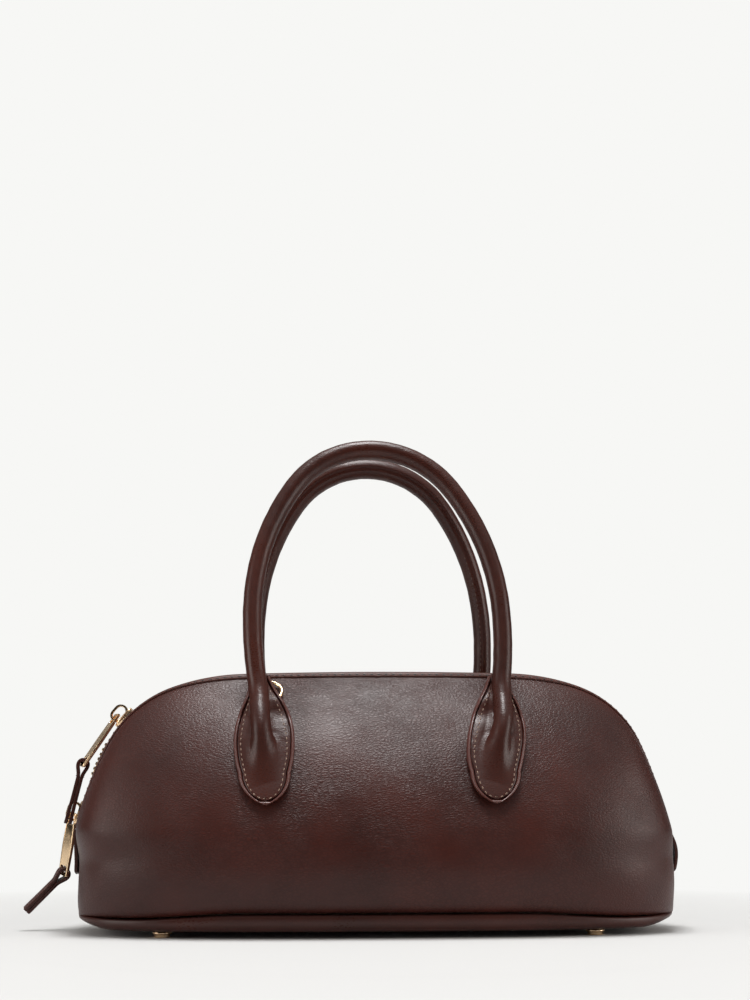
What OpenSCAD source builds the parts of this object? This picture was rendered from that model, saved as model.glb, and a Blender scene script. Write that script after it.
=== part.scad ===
// Top handle bag: a long, low domed leather body on metal feet, two rolled arch handles,
// and a two-way metal zip over the crown with both sliders parked at the left end.
// Millimetres. X runs along the bag, the front panel faces -Y, Z is up.
// The origin is the middle of the plane that the feet stand on.

/* [Body] */
// Width of the body over its side seams
body_w = 302; // [250:1:360]
// Height of the zip line's crown above the floor
crown_h = 129; // [118:1:150]
// Depth of the body where it is fullest
body_d = 128; // [112:1:140]
// Depth of the body at the base seam
base_d = 114; // [90:1:120]
// Height above the floor at which the body is fullest
full_h = 33; // [26:1:40]
// Height of the base seam above the floor
seam_h = 11; // [9:0.5:14]
// Thickness of the leather panels
wall = 1.8; // [1:0.1:2.4]
// Width of the zip gusset, from panel to panel
gusset_w = 24; // [20:0.5:30]

/* [Zip line] */
// Radius of the upper shoulder arc
upper_r = 110; // [90:1:140]
// Radius of the shoulder arc that the upper slider runs on
shoulder_r = 54; // [46:1:64]
// Radius of the end arc that the lower slider runs on
end_r = 210; // [180:1:240]
// Radius of the side seam below the zip
side_r = 120; // [100:1:200]
// Slope of the zip line, in degrees, where the crown ends
crown_slope = 1.6; // [1:0.1:3]
// Slope where the upper shoulder arc ends
upper_slope = 20; // [14:1:26]
// Slope where the shoulder arc ends
shoulder_slope = 66; // [60:1:70]
// Slope where the zip ends
end_slope = 78; // [74:1:82]

/* [Base] */
// Height of the feet below the base
foot_h = 3; // [1:0.5:6]
// Radius of a foot's rim
foot_r = 4.6; // [3:0.1:5]
// Radius of the round pad that a foot stands on
pad_r = 3.6; // [2.4:0.1:4.4]
// Distance of the feet from the ends of the base
foot_end = 47; // [40:1:70]
// Distance of the feet from the long sides of the base
foot_side = 18; // [17:1:30]
// Thickness of the leather base
base_t = 1.8; // [1:0.1:2.4]
// Thickness of the stiffening board on the base
board_t = 2; // [1:0.1:3]

/* [Handles] */
// Radius of a rolled handle
tube_r = 4.8; // [3.5:0.1:6]
// Wall of the leather that wraps a handle
tube_wall = 1.5; // [1:0.1:2]
// Centreline radius of the handle's top
top_r = 50; // [40:1:60]
// Centreline radius of the handle's upper sides
flank_r = 124; // [100:1:150]
// Centreline radius of the handle's legs
leg_r = 198; // [150:1:240]
// Lean of a handle towards the middle of the bag, in degrees
handle_lean = 10.2; // [4:0.1:12]
// Depth of the handle's tilting line below the crown of the zip
pivot_drop = 17; // [15:1:20]
// Stand of the tilting line off the panel
pivot_stand = 9.4; // [8.6:0.1:12]

/* [Handle tabs] */
// Width of a tab
tab_w = 26; // [20:0.5:32]
// Length of a tab on the panel
tab_l = 49; // [40:1:54]
// Lean of a tab in the front view, in degrees
tab_lean = 5.8; // [0:0.1:8]
// Thickness of a tab at its edge
tab_t = 1.6; // [1:0.1:2.4]
// How far the backing patch shows all round the tab
patch_rim = 1.7; // [0.8:0.1:3]
// Thickness of the backing patch
patch_t = 1.1; // [0.6:0.1:1.6]
// Height of the padded ridge at the tab's middle
ridge_h = 4.2; // [2:0.1:6]

/* [Strap rings] */
// Centreline radius of a strap ring
ring_r = 6.8; // [5:0.1:8]
// Radius of the ring's wire
ring_wire = 0.85; // [0.6:0.05:1.1]
// Distance of the ring's middle from the handle's leg, towards the middle
ring_in = 4.5; // [3:0.1:8]
// Width of the leather keeper
keeper_w = 5; // [3:0.1:6]

/* [Zip] */
// Width of the chain's two tooth rows together
chain_w = 6.4; // [5:0.1:8]
// Pitch of the teeth along one row
tooth_pitch = 2.6; // [2.2:0.1:3.4]
// Height of the teeth above the zip line
tooth_up = 2.2; // [1.6:0.1:3]
// Depth of the teeth below the zip line
tooth_down = 0.9; // [0.8:0.1:1.4]
// Channel between the two tooth rows, for the slider's post
channel_w = 1.2; // [1:0.1:1.6]
// Thickness of the zip tape
tape_t = 0.6; // [0.3:0.1:0.8]
// Thickness of the leather binding beside the zip
binding_t = 1.1; // [0.8:0.1:1.4]
// Width of the binding where it laps over the panel
lap_w = 4.2; // [3:0.1:6]
// Length of an end tab
end_tab_l = 22; // [14:1:24]

/* [Sliders and pulls] */
// Length of a slider
slider_l = 12; // [9:0.5:13]
// Width of a slider
slider_w = 9.6; // [8.6:0.1:10]
// Slope of the zip line at the parked upper slider, in degrees
upper_park = 51; // [45:1:56]
// Slope of the zip line at the parked lower slider
lower_park = 76.2; // [72:0.1:76.2]
// Length of a pull, from its crossbar to its tip
pull_l = 31.3; // [24:0.5:36]
// Width of a pull at its widest
pull_w = 9; // [7.6:0.1:11]
// Thickness of a pull
pull_t = 1.7; // [1.2:0.1:2]
// Thickness of a thong's leather
thong_t = 2; // [1:0.1:2.2]
// Width of a thong
thong_w = 5; // [3:0.1:5.6]
// Length of the upper thong
upper_thong_l = 30; // [20:1:36]
// Length of the lower thong
lower_thong_l = 25; // [18:1:26]

/* [Hidden] */
// every piece of the bag, in the order that it is sewn

leather = "#3e2723";
leather_dark = "#311d1a";
gold = "#d9bd8a";
fabric = "#4a3732";
tape_brown = "#2c1a17";

// clearance between soft pieces that lie on each other
lay = 0.2;
// clearance round pieces that move
run = 0.3;
// overrun of a cut past the face that it opens
over = 1;
// step used to find the slope of a surface
probe = wall / 80;
// tiniest half width that the outline is allowed, at the very crown
least = body_w / 1000;

// how boxy the body is in plan, and how it leans in towards the zip
plan_power = 2.9;
lean_power = 1.8;
// half gap between the front and back panels at the side seams
seam_gap = 0.3;
// height of the panel's turned lip at the zip
lip = 0.6;
// length below the zip over which the gusset closes to the side seam
gusset_taper = 17;

pivot_h = crown_h - pivot_drop;
tab_top = pivot_h - over;
tab_low = tab_top - tab_l;
half_w = body_w / 2;
half_d = body_d / 2;
half_g = gusset_w / 2;

// Zip line: five arcs in the XZ plane, each [radius, first slope, last slope, centre]
crown_half = half_w - upper_r * (sin(upper_slope) - sin(crown_slope))
           - shoulder_r * (sin(shoulder_slope) - sin(upper_slope))
           - end_r * (sin(end_slope) - sin(shoulder_slope))
           - side_r * (1 - sin(end_slope));
crown_r = crown_half / sin(crown_slope);
function turn(slope) = [sin(slope), cos(slope)];
crown_c = [0, crown_h - crown_r];
upper_c = crown_c + (crown_r - upper_r) * turn(crown_slope);
shoulder_c = upper_c + (upper_r - shoulder_r) * turn(upper_slope);
end_c = shoulder_c + (shoulder_r - end_r) * turn(shoulder_slope);
side_c = end_c + (end_r - side_r) * turn(end_slope);
zip_end_h = side_c[1] + side_r * cos(end_slope);
side_slope = acos((seam_h - side_c[1]) / side_r);
arcs = [[crown_r, 0, crown_slope, crown_c], [upper_r, crown_slope, upper_slope, upper_c],
        [shoulder_r, upper_slope, shoulder_slope, shoulder_c],
        [end_r, shoulder_slope, end_slope, end_c], [side_r, end_slope, side_slope, side_c]];
function arc_len(a) = a[0] * (a[2] - a[1]) * PI / 180;
// A chain of such arcs, followed to a distance s from its top: the arc there, the slope, and the point
function chain_len(c, n) = n == 0 ? 0 : arc_len(c[n - 1]) + chain_len(c, n - 1);
function arc_at(c, s, i = 0) = (i == len(c) - 1 || s <= chain_len(c, i + 1)) ? i : arc_at(c, s, i + 1);
function slope_at(c, s) = let (i = arc_at(c, s)) c[i][1] + (s - chain_len(c, i)) / c[i][0] * 180 / PI;
// point moved out by off; s below 0 is the left half
function chain_pt(c, s, off = 0) = let (q = abs(s), a = c[arc_at(c, q)],
    p = a[3] + (a[0] + off) * turn(slope_at(c, q))) [sign(s) * p[0], p[1]];
zip_half_l = chain_len(arcs, 4);
seam_half_l = chain_len(arcs, 5);
function rim(s, off = 0) = chain_pt(arcs, s, off);

// Body surface: depth over [x, z] in closed form
// half width of the outline at a height
function reach(a, z) = a[3][0] + a[0] * sqrt(max(0, 1 - pow(min(1, (z - a[3][1]) / a[0]), 2)));
function top_of(a) = a[3][1] + a[0] * cos(a[1]);
function half_width(z) = max(least,
    z > top_of(arcs[1]) ? reach(arcs[0], z) :
    z > top_of(arcs[2]) ? reach(arcs[1], z) :
    z > top_of(arcs[3]) ? reach(arcs[2], z) :
    z > top_of(arcs[4]) ? reach(arcs[3], z) : reach(arcs[4], z));
function smooth(v) = let (c = min(1, max(0, v))) c * c * (3 - 2 * c);
// half gap between the panels at their edge
function half_gap(z) = seam_gap
    + (half_g - seam_gap) * smooth((z - zip_end_h + gusset_taper) / gusset_taper);
// half depth of the body in its middle section
function half_depth(z) = z > full_h
    ? half_g + lip + (half_d - half_g - lip) * (1 - pow(min(1, (z - full_h) / (crown_h - full_h)), lean_power))
    : half_d - (half_d - base_d / 2) * pow((full_h - z) / (full_h - seam_h), 2);
function depth_at(x, z) = let (g = half_gap(z), r = min(1, abs(x) / half_width(z)))
    g + (half_depth(z) - g) * pow(max(0, 1 - pow(r, plan_power)), 1 / plan_power);
// unit normal of the front surface, from the closed form's own equation
function level(x, y, z) = pow(abs(x) / half_width(z), plan_power)
    + pow(max(0, y - half_gap(z)) / (half_depth(z) - half_gap(z)), plan_power);
function unit(v) = v / norm(v);
function normal_at(x, z) = let (y = depth_at(x, z), g = half_gap(z), a = half_width(z), b = half_depth(z) - g,
    nx = sign(x) * plan_power * pow(min(1, abs(x) / a), plan_power - 1) / a,
    ny = plan_power * pow(max(0, y - g) / b, plan_power - 1) / b,
    nz = (level(x, y, z) - level(x, y, z - probe)) / probe)
    unit([nx, -ny, nz]);
// point of the front surface, moved out by off
function skin(x, z, off = 0) = [x, -depth_at(x, z), z] + off * normal_at(x, z);

// Net over a panel: u runs from the left seam, -1, to the right seam, 1, and t from zip to base
// shares that spread the net's lines along the base
base_spread_share = 1.25;
// the net stops this share of a seam short of its end, where the seams meet
net_stop_share = 0.985;
function base_x(u) = sign(u) * half_width(seam_h)
    * pow(sin(90 * pow(abs(u), base_spread_share)), 2 / plan_power);
function net_xz(u, t) = let (r = rim(u * seam_half_l))
    [r[0] + (base_x(u) - r[0]) * t, r[1] + (seam_h - r[1]) * t];
function net(u, t, off = 0) = let (p = net_xz(u, t)) skin(p[0], p[1], off);

// closed shell from a grid of outer points and the same grid of inner points
module shell(outer, inner) {
    rows = len(outer);
    cols = len(outer[0]);
    n = rows * cols;
    function at(i, j, side) = side * n + i * cols + j;
    points = concat([for (r = outer, p = r) p], [for (r = inner, p = r) p]);
    faces = concat(
        [for (i = [0:rows - 2], j = [0:cols - 2], k = [0, 1])
            k == 0 ? [at(i, j, 0), at(i, j + 1, 0), at(i + 1, j, 0)]
                   : [at(i, j + 1, 0), at(i + 1, j + 1, 0), at(i + 1, j, 0)]],
        [for (i = [0:rows - 2], j = [0:cols - 2], k = [0, 1])
            k == 0 ? [at(i, j, 1), at(i + 1, j, 1), at(i, j + 1, 1)]
                   : [at(i, j + 1, 1), at(i + 1, j, 1), at(i + 1, j + 1, 1)]],
        [for (i = [0:rows - 2], j = [0, cols - 1], k = [0, 1]) let (
            a = at(i, j, 0), b = at(i + 1, j, 0), c = at(i, j, 1), d = at(i + 1, j, 1))
            j == 0 ? (k == 0 ? [a, b, c] : [b, d, c]) : (k == 0 ? [a, c, b] : [b, c, d])],
        [for (j = [0:cols - 2], i = [0, rows - 1], k = [0, 1]) let (
            a = at(i, j, 0), b = at(i, j + 1, 0), c = at(i, j, 1), d = at(i, j + 1, 1))
            i == 0 ? (k == 0 ? [a, c, b] : [b, c, d]) : (k == 0 ? [a, b, c] : [b, d, c])]);
    polyhedron(points, faces, convexity = 6);
}

// closed solid swept through rings of points
module rings_solid(rings) {
    m = len(rings[0]);
    n = len(rings);
    faces = concat(
        [for (i = [0:n - 2], j = [0:m - 1], k = [0, 1]) let (jn = (j + 1) % m)
            k == 0 ? [i * m + j, i * m + jn, (i + 1) * m + j]
                   : [i * m + jn, (i + 1) * m + jn, (i + 1) * m + j]],
        [[for (j = [m - 1:-1:0]) j]],
        [[for (j = [0:m - 1]) (n - 1) * m + j]]);
    polyhedron([for (r = rings, p = r) p], faces, convexity = 6);
}

// a panel of leather or lining at a depth under the skin
panel_cols = 44;
panel_rows = 13;
lining_cols = 24;
lining_rows = 8;
// rows crowd towards the zip, where the surface turns fastest
row_power_share = 1.6;
function row_t(j, rows, t0, crowd) = t0 + (1 - t0) * pow(j / rows, crowd);
function sheet_grid(cols, rows, off, t0, crowd) =
    [for (i = [cols:-1:0]) [for (j = [0:rows])
        net(net_stop_share * (2 * i / cols - 1), row_t(j, rows, t0, crowd), off)]];
module sheet(cols, rows, off_out, off_in, t0 = 0, crowd = row_power_share)
    shell(sheet_grid(cols, rows, off_out, t0, crowd), sheet_grid(cols, rows, off_in, t0, crowd));

module to_back() mirror([0, 1, 0]) children();

module front_panel() color(leather) sheet(panel_cols, panel_rows, 0, -wall);
module back_panel() color(leather) to_back() sheet(panel_cols, panel_rows, 0, -wall);

// lining hangs inside the panels, from under the zip tape down to the base
lining_t = 0.7;
lining_gap = 0.8;
lining_top_share = 0.03;
module lining_half() sheet(lining_cols, lining_rows, -wall - lining_gap, -wall - lining_gap - lining_t,
                           lining_top_share, 1);
module front_lining() color(fabric) lining_half();
module back_lining() color(fabric) to_back() lining_half();

// flat pocket sewn on the back lining
pocket_w = 150;
pocket_h = 58;
pocket_low = 42;
pocket_t = 0.7;
pocket_cols = 12;
pocket_rows = 4;
function pocket_grid(off) = [for (i = [pocket_cols:-1:0]) [for (j = [0:pocket_rows])
    skin(pocket_w * (i / pocket_cols - 0.5), pocket_low + pocket_h * (1 - j / pocket_rows), off)]];
pocket_off = -wall - lining_gap - lining_t - 2 * run;
module slip_pocket() color(fabric) to_back()
    shell(pocket_grid(pocket_off), pocket_grid(pocket_off - pocket_t));

// Base
base_points = 72;
base_low = foot_h;
base_half_w = half_width(seam_h);
base_half_d = base_d / 2;
// round-ended outline of the base, drawn in by an inset
function base_pt(k, inset) = let (a = 360 * k / base_points, c = cos(a), s = sin(a))
    [(base_half_w - inset) * sign(c) * pow(abs(c), 2 / plan_power),
     (base_half_d - inset) * sign(s) * pow(abs(s), 2 / plan_power)];
function base_outline(inset) = [for (k = [0:base_points - 1]) base_pt(k, inset)];
// the band's round lower edge draws the flat base in by this much
band_roll = 5;
band_t = wall;
band_top = seam_h - lay;
band_inset_base = band_roll + run;
foot_stem_r = 1.4;
board_low = base_low + base_t + lay;
board_top = board_low + board_t;
foot_x = base_half_w - foot_end;
foot_y = base_half_d - foot_side;
module foot_places() for (x = [-foot_x, foot_x], y = [-foot_y, foot_y]) translate([x, y, 0]) children();
module base_sheet(low, t, inset) difference() {
    translate([0, 0, low]) linear_extrude(t) polygon(base_outline(inset));
    foot_places() translate([0, 0, low - over]) cylinder(r = foot_stem_r + run, h = t + 2 * over, $fn = 32);
}
module base_panel() color(leather) base_sheet(base_low, base_t, band_inset_base);
module base_board() color("#6b5a4c") base_sheet(board_low, board_t, band_inset_base + band_t);
// lining over the board and the rivet heads
floor_t = 0.7;
washer_r = 4.4;
washer_t = 0.5;
washer_low = board_top + lay;
rivet_head_r = 2.4;
rivet_head_t = 0.5;
rivet_low = washer_low + washer_t + lay;
rivet_top = rivet_low + rivet_head_t;
module floor_lining() color(fabric) translate([0, 0, rivet_top + lay])
    linear_extrude(floor_t) polygon(base_outline(band_inset_base + band_t));

// rolled band between the base seam and the flat base: profile points [inset, z], outside then inside
band_steps = 5;
seam_groove = 0.9;
function band_profile() = concat(
    [[seam_groove, band_top]], [[0.25 * seam_groove, band_top - seam_groove]],
    [for (i = [0:band_steps]) let (a = 90 * i / band_steps)
        [band_roll * (1 - cos(a)), base_low + band_roll * (1 - sin(a))]],
    [[band_roll, base_low + band_t]],
    [for (i = [band_steps - 1:-1:0]) let (a = 90 * i / band_steps)
        [band_t + (band_roll - band_t) * (1 - cos(a)),
         base_low + band_t + (band_roll - band_t) * (1 - sin(a))]],
    [[band_t + seam_groove, band_top]]);
module base_band() color(leather_dark) {
    prof = band_profile();
    m = len(prof);
    points = [for (k = [0:base_points - 1], p = prof) concat(base_pt(k, p[0]), [p[1]])];
    faces = [for (k = [0:base_points - 1], j = [0:m - 1], h = [0, 1]) let (
        kn = (k + 1) % base_points, jn = (j + 1) % m)
        h == 0 ? [k * m + j, kn * m + j, k * m + jn] : [k * m + jn, kn * m + j, kn * m + jn]];
    polyhedron(points, faces, convexity = 6);
}

// domed foot on a rivet: its stem goes up through the board and a washer, and its head holds them
pad_h = foot_h / 2;
module foot() {
    rotate_extrude($fn = 64) polygon([[0, 0], [pad_r, 0], [pad_r, pad_h], [foot_r, pad_h],
        [foot_r, foot_h - lay], [foot_stem_r, foot_h - lay], [foot_stem_r, rivet_low],
        [rivet_head_r, rivet_low], [rivet_head_r, rivet_top], [0, rivet_top]]);
}
module feet() color(gold) foot_places() foot();
module foot_washers() color("silver") foot_places() translate([0, 0, washer_low]) difference() {
    cylinder(r = washer_r, h = washer_t, $fn = 64);
    translate([0, 0, -over]) cylinder(r = foot_stem_r + lay, h = washer_t + 2 * over, $fn = 32);
}

// Zip
// strip that follows the zip line: between two offsets from it, from y0 to y1, over a span of it
strip_step = 3.2;
module strip(s0, s1, off0, off1, y0, y1) {
    n = ceil((s1 - s0) / strip_step);
    pts = concat([for (i = [0:n]) rim(s0 + (s1 - s0) * i / n, off1)],
                 [for (i = [n:-1:0]) rim(s0 + (s1 - s0) * i / n, off0)]);
    translate([0, y1, 0]) rotate([90, 0, 0]) linear_extrude(y1 - y0) polygon(pts);
}
tape_top = -0.3;
tape_low = tape_top - tape_t;
// the tape's outer edge stops short of the panel's turned edge
tape_in = wall;
row_w = (chain_w - channel_w) / 2;
row_out = chain_w / 2;
module tape() strip(-zip_half_l, zip_half_l, tape_low, tape_top, -half_g + tape_in, -row_out - lay / 2);
module front_zip_tape() color(tape_brown) tape();
module back_zip_tape() color(tape_brown) to_back() tape();

// one row of teeth, as a rack along the zip line; the back row is half a pitch on
tooth_root = 0.2;
tooth_gap_share = 0.42;
module teeth(shift) {
    count = floor((2 * zip_half_l - 2 * tooth_pitch) / tooth_pitch);
    s0 = -count * tooth_pitch / 2 + shift;
    tops = [for (i = [0:count - 1], q = [0:3]) let (
        s = s0 + (i + (q < 2 ? 0 : 1 - tooth_gap_share)) * tooth_pitch,
        up = (q == 0 || q == 3) ? tooth_root : tooth_up) rim(s, up)];
    lows = [for (i = [count:-1:0]) rim(s0 + i * tooth_pitch, -tooth_down)];
    ends = [rim(s0 + count * tooth_pitch, tooth_root)];
    translate([0, -channel_w / 2, 0]) rotate([90, 0, 0]) linear_extrude(row_w)
        polygon(concat(tops, ends, lows));
}
module front_zip_teeth() color(gold) teeth(0);
module back_zip_teeth() color(gold) to_back() teeth(tooth_pitch / 2);

// leather binding: lies on the tape's edge, rolls over the gusset's corner and laps on to the panel
binding_in = slider_w / 2 + 2 * run;
binding_cols = 64;
binding_span_share = 0.826;
function lap_t(u, lo = 0, hi = 0.5, n = 14) = n == 0 ? (lo + hi) / 2 :
    let (m = (lo + hi) / 2)
    norm(net(u, m) - net(u, 0)) < lap_w ? lap_t(u, m, hi, n - 1) : lap_t(u, lo, m, n - 1);
function binding_ring(u) = let (s = u * seam_half_l, t = lap_t(u),
    low = rim(s, lay), high = rim(s, binding_t))
    [[low[0], -binding_in, low[1]], [high[0], -binding_in, high[1]],
     [high[0], -half_g + binding_t / 2, high[1]],
     net(u, t / 8, binding_t), net(u, t / 2, binding_t + lay / 2), net(u, t * 0.95, binding_t * 0.8),
     net(u, t, lay), net(u, t / 2, lay), net(u, t / 8, lay), [low[0], -half_g + lay / 2, low[1]]];
module binding() rings_solid([for (i = [binding_cols:-1:0])
    binding_ring(binding_span_share * (2 * i / binding_cols - 1))]);
module front_binding() color(leather_dark) binding();
module back_binding() color(leather_dark) to_back() binding();

// leather tab folded over each end of the zip; it bows out between its ends
end_tab_w = gusset_w + lip;
end_tab_t = 1.4;
end_tab_gap = 0.4;
left_bow = 0.3;
right_bow = 2.6;
end_tab_steps = 12;
module end_tab(side, bow) {
    s0 = zip_half_l + end_tab_gap;
    function off_at(i) = run + bow * sin(180 * i / end_tab_steps);
    function along(i) = side * (s0 + end_tab_l * i / end_tab_steps);
    pts = concat([for (i = [0:end_tab_steps]) rim(along(i), off_at(i) + end_tab_t)],
                 [for (i = [end_tab_steps:-1:0]) rim(along(i), off_at(i))]);
    translate([0, end_tab_w / 2, 0]) rotate([90, 0, 0]) linear_extrude(end_tab_w) polygon(pts);
}
module left_end_tab() color(leather_dark) end_tab(-1, left_bow);
module right_end_tab() color(leather_dark) end_tab(1, right_bow);

// Handles: five arcs in a plane that leans to the middle of the bag
top_end_slope = 55;
flank_end_slope = 88;
leg_end_slope = 100.5;
top_c = [0, -top_r];
flank_c = top_c + (top_r - flank_r) * turn(top_end_slope);
leg_c = flank_c + (flank_r - leg_r) * turn(flank_end_slope);
leg_end = leg_c + leg_r * turn(leg_end_slope);
leg_x = leg_end[0];
handle_rise = -leg_end[1];
pivot_skin = skin(leg_x, pivot_h, pivot_stand);
pivot = [leg_x, pivot_skin[1], pivot_skin[2]];

handle_arcs = [[top_r, 0, top_end_slope, top_c], [flank_r, top_end_slope, flank_end_slope, flank_c],
               [leg_r, flank_end_slope, leg_end_slope, leg_c]];
handle_half_l = chain_len(handle_arcs, 3);
core_r = tube_r - tube_wall - lay / 2;
bore_r = tube_r - tube_wall;
handle_steps = 36;
ball_steps = 4;
tube_sides = 14;
core_sides = 8;
// a ring round the handle's line at s, pushed past its end by more, in the handle's own plane
function handle_ring(s, more, r, sides = tube_sides) = let (
    c = chain_pt(handle_arcs, s), f = slope_at(handle_arcs, abs(s)), m = sign(s) == 0 ? 1 : sign(s),
    out = [m * sin(f), cos(f)], along = [m * cos(f), -sin(f)], q = c + more * along)
    [for (k = [0:sides - 1]) let (a = 360 * k / sides, w = q + r * cos(a) * out)
        [w[0], pivot[1] + (w[1] + handle_rise) * sin(handle_lean) + r * sin(a) * cos(handle_lean),
         pivot[2] + (w[1] + handle_rise) * cos(handle_lean) - r * sin(a) * sin(handle_lean)]];
// the ball end stops where the bore opens through it
ball_stop = asin(sqrt(1 - pow(bore_r / tube_r, 2)));
ball_depth = tube_r * sin(ball_stop);
function ball_rings(side) = [for (i = [ball_steps:-1:1]) let (a = ball_stop * i / ball_steps)
    handle_ring(side * handle_half_l, tube_r * sin(a), tube_r * cos(a))];
function line_rings(r, sides = tube_sides) = [for (i = [0:handle_steps])
    handle_ring(handle_half_l * (2 * i / handle_steps - 1), 0, r, sides)];
function flipped(v) = [for (i = [len(v) - 1:-1:0]) v[i]];
// a tube closed on itself through its bore: the outside from end to end, then the inside back
module tube_solid(rings) {
    m = len(rings[0]);
    n = len(rings);
    faces = [for (i = [0:n - 1], j = [0:m - 1], k = [0, 1]) let (jn = (j + 1) % m, in = (i + 1) % n)
        k == 0 ? [i * m + j, i * m + jn, in * m + j] : [i * m + jn, in * m + jn, in * m + j]];
    polyhedron([for (r = rings, p = r) p], faces, convexity = 8);
}
module handle() color(leather) tube_solid(concat(ball_rings(-1), line_rings(tube_r),
    flipped(ball_rings(1)), flipped(line_rings(bore_r))));
function core_end(side) = handle_ring(side * handle_half_l, ball_depth, core_r, core_sides);
module core() color("#c9bba5")
    rings_solid(concat([core_end(-1)], line_rings(core_r, core_sides), [core_end(1)]));
module front_handle() handle();
module back_handle() to_back() handle();
module front_handle_core() core();
module back_handle_core() to_back() core();

// Handle tabs
// a tab's rows run from its lower tip, q = 0, to the neck under the handle's ball end, q = 1
tab_rows = 18;
tab_arc = 12;
tab_flat = 8;
// half widths down a tab, as shares of half its width, from the tip to the neck
tab_shares = [0.1, 0.42, 0.6, 0.72, 0.81, 0.88, 0.93, 0.965, 0.99, 1, 1, 0.995, 0.975, 0.935, 0.88,
              0.8, 0.7, 0.57, 0.42];
// the upper part of a tab lifts off the panel, so that a strap ring lies under it
lift_from_share = 0.6;
lift_to_share = 0.8;
lift_h = 2 * ring_wire + 3 * run;
neck_gap = tube_r + run;
function tab_mid(q) = let (z = tab_low + (tab_top - tab_low) * q)
    [leg_x - (tab_top - z) * tan(tab_lean), z];
function tab_lift(q) = lift_h * smooth((q - lift_from_share) / (lift_to_share - lift_from_share));
function tab_half(q, rim_w) = let (f = q * tab_rows, i = min(tab_rows - 1, floor(f)), w = tab_w / 2)
    w * (tab_shares[i] + (tab_shares[i + 1] - tab_shares[i]) * (f - i)) + rim_w;
// point across a tab at a share p of its half width, moved off the panel
function tab_pt(q, p, w, off) = let (c = tab_mid(q))
    skin(c[0] + p * w * cos(tab_lean), c[1] - p * w * sin(tab_lean), off);
tab_base = patch_t + 2 * lay;
// the ridge rises from the tip over a share of the length, then grows from a share of its height to all of it
ridge_run_share = 0.35;
ridge_low_share = 0.55;
ridge_power = 0.8;
function ridge_at(q) = ridge_h * smooth(q / ridge_run_share) * (ridge_low_share + (1 - ridge_low_share) * q);
// shares of the length where the neck's straight middle line starts, and where the section turns round
neck_share = 0.72;
round_share = 0.74;
// how much of the round section the leaf's outer face covers, in degrees
round_arc = 220;
round_from = (180 - round_arc) / 2;
neck_from = tab_mid(neck_share);
neck_root = skin(neck_from[0], neck_from[1], tab_base + lift_h + tube_r);
neck_dir = unit(pivot - neck_root);
neck_end = pivot - neck_gap * neck_dir;
neck_side = unit(cross([0, 1, 0], neck_dir));
neck_out = cross(neck_side, neck_dir);
tab_count = tab_arc + tab_flat + 1;
// a ring of points round the tab at q: over the ridge, then back under it
function tab_ring(q) = let (w = tab_half(q, 0), low = tab_base + tab_lift(q),
    blend = smooth((q - round_share) / (1 - round_share)))
    [for (k = [0:tab_count - 1]) let (
        over_ridge = k <= tab_arc,
        p = over_ridge ? cos(180 * k / tab_arc) : -cos(180 * (k - tab_arc) / (tab_flat + 1)),
        crown = ridge_at(q) * pow(max(0, 1 - p * p), ridge_power),
        flat = tab_pt(q, p, w, over_ridge ? low + tab_t + crown : low),
        a = over_ridge ? round_from + round_arc * k / tab_arc
                       : round_from + round_arc + (360 - round_arc) * (k - tab_arc) / (tab_flat + 1),
        middle = neck_end - (1 - q) * norm(neck_end - neck_root) / (1 - neck_share) * neck_dir,
        round = middle + tube_r * (cos(a) * neck_side + sin(a) * neck_out))
        flat * (1 - blend) + round * blend];
module tab() rings_solid([for (i = [0:tab_rows]) tab_ring(i / tab_rows)]);
patch_end_share = 0.86;
patch_cols = 4;
function patch_grid(off) = [for (i = [0:tab_rows]) let (q = patch_end_share * i / tab_rows)
    [for (j = [0:patch_cols]) tab_pt(q, 1 - 2 * j / patch_cols, tab_half(q, patch_rim), off + tab_lift(q))]];
module patch() shell(patch_grid(lay + patch_t), patch_grid(lay));
// stiff pieces inside the panel, behind the two tabs
reinforce_w = 30;
reinforce_t = 0.35;
reinforce_off = -wall - lay;
function reinforce_grid(off) = [for (i = [0:tab_rows / 2]) let (q = patch_end_share * 2 * i / tab_rows)
    [for (j = [0:patch_cols]) tab_pt(q, 1 - 2 * j / patch_cols, reinforce_w / 2, off)]];

module left() mirror([1, 0, 0]) children();
module front_left_tab() color(leather) left() tab();
module front_right_tab() color(leather) tab();
module back_left_tab() color(leather) to_back() left() tab();
module back_right_tab() color(leather) to_back() tab();
module front_left_patch() color(leather_dark) left() patch();
module front_right_patch() color(leather_dark) patch();
module back_left_patch() color(leather_dark) to_back() left() patch();
module back_right_patch() color(leather_dark) to_back() patch();

// Strap rings, each behind a tab and held by a keeper
ring_rise_share = 0.75;
ring_h = pivot_h + ring_rise_share * ring_r;
ring_x = leg_x - ring_in;
ring_mid = skin(ring_x, ring_h, ring_wire + run);
ring_n = normal_at(ring_x, ring_h);
ring_up = unit(cross(cross(ring_n, [0, 0, 1]), ring_n));
ring_side = cross(ring_up, ring_n);
keeper_l = 1.6;
keeper_over = 1.8;
keeper_h = 2 * ring_wire + 2 * run;
module ring_place() multmatrix([[ring_side[0], ring_up[0], ring_n[0], ring_mid[0]],
    [ring_side[1], ring_up[1], ring_n[1], ring_mid[1]],
    [ring_side[2], ring_up[2], ring_n[2], ring_mid[2]], [0, 0, 0, 1]]) children();
module ring() color(gold) ring_place()
    rotate_extrude($fn = 96) translate([ring_r, 0]) circle(r = ring_wire, $fn = 24);
module front_strap_ring() left() ring();
module back_strap_ring() to_back() ring();

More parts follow.
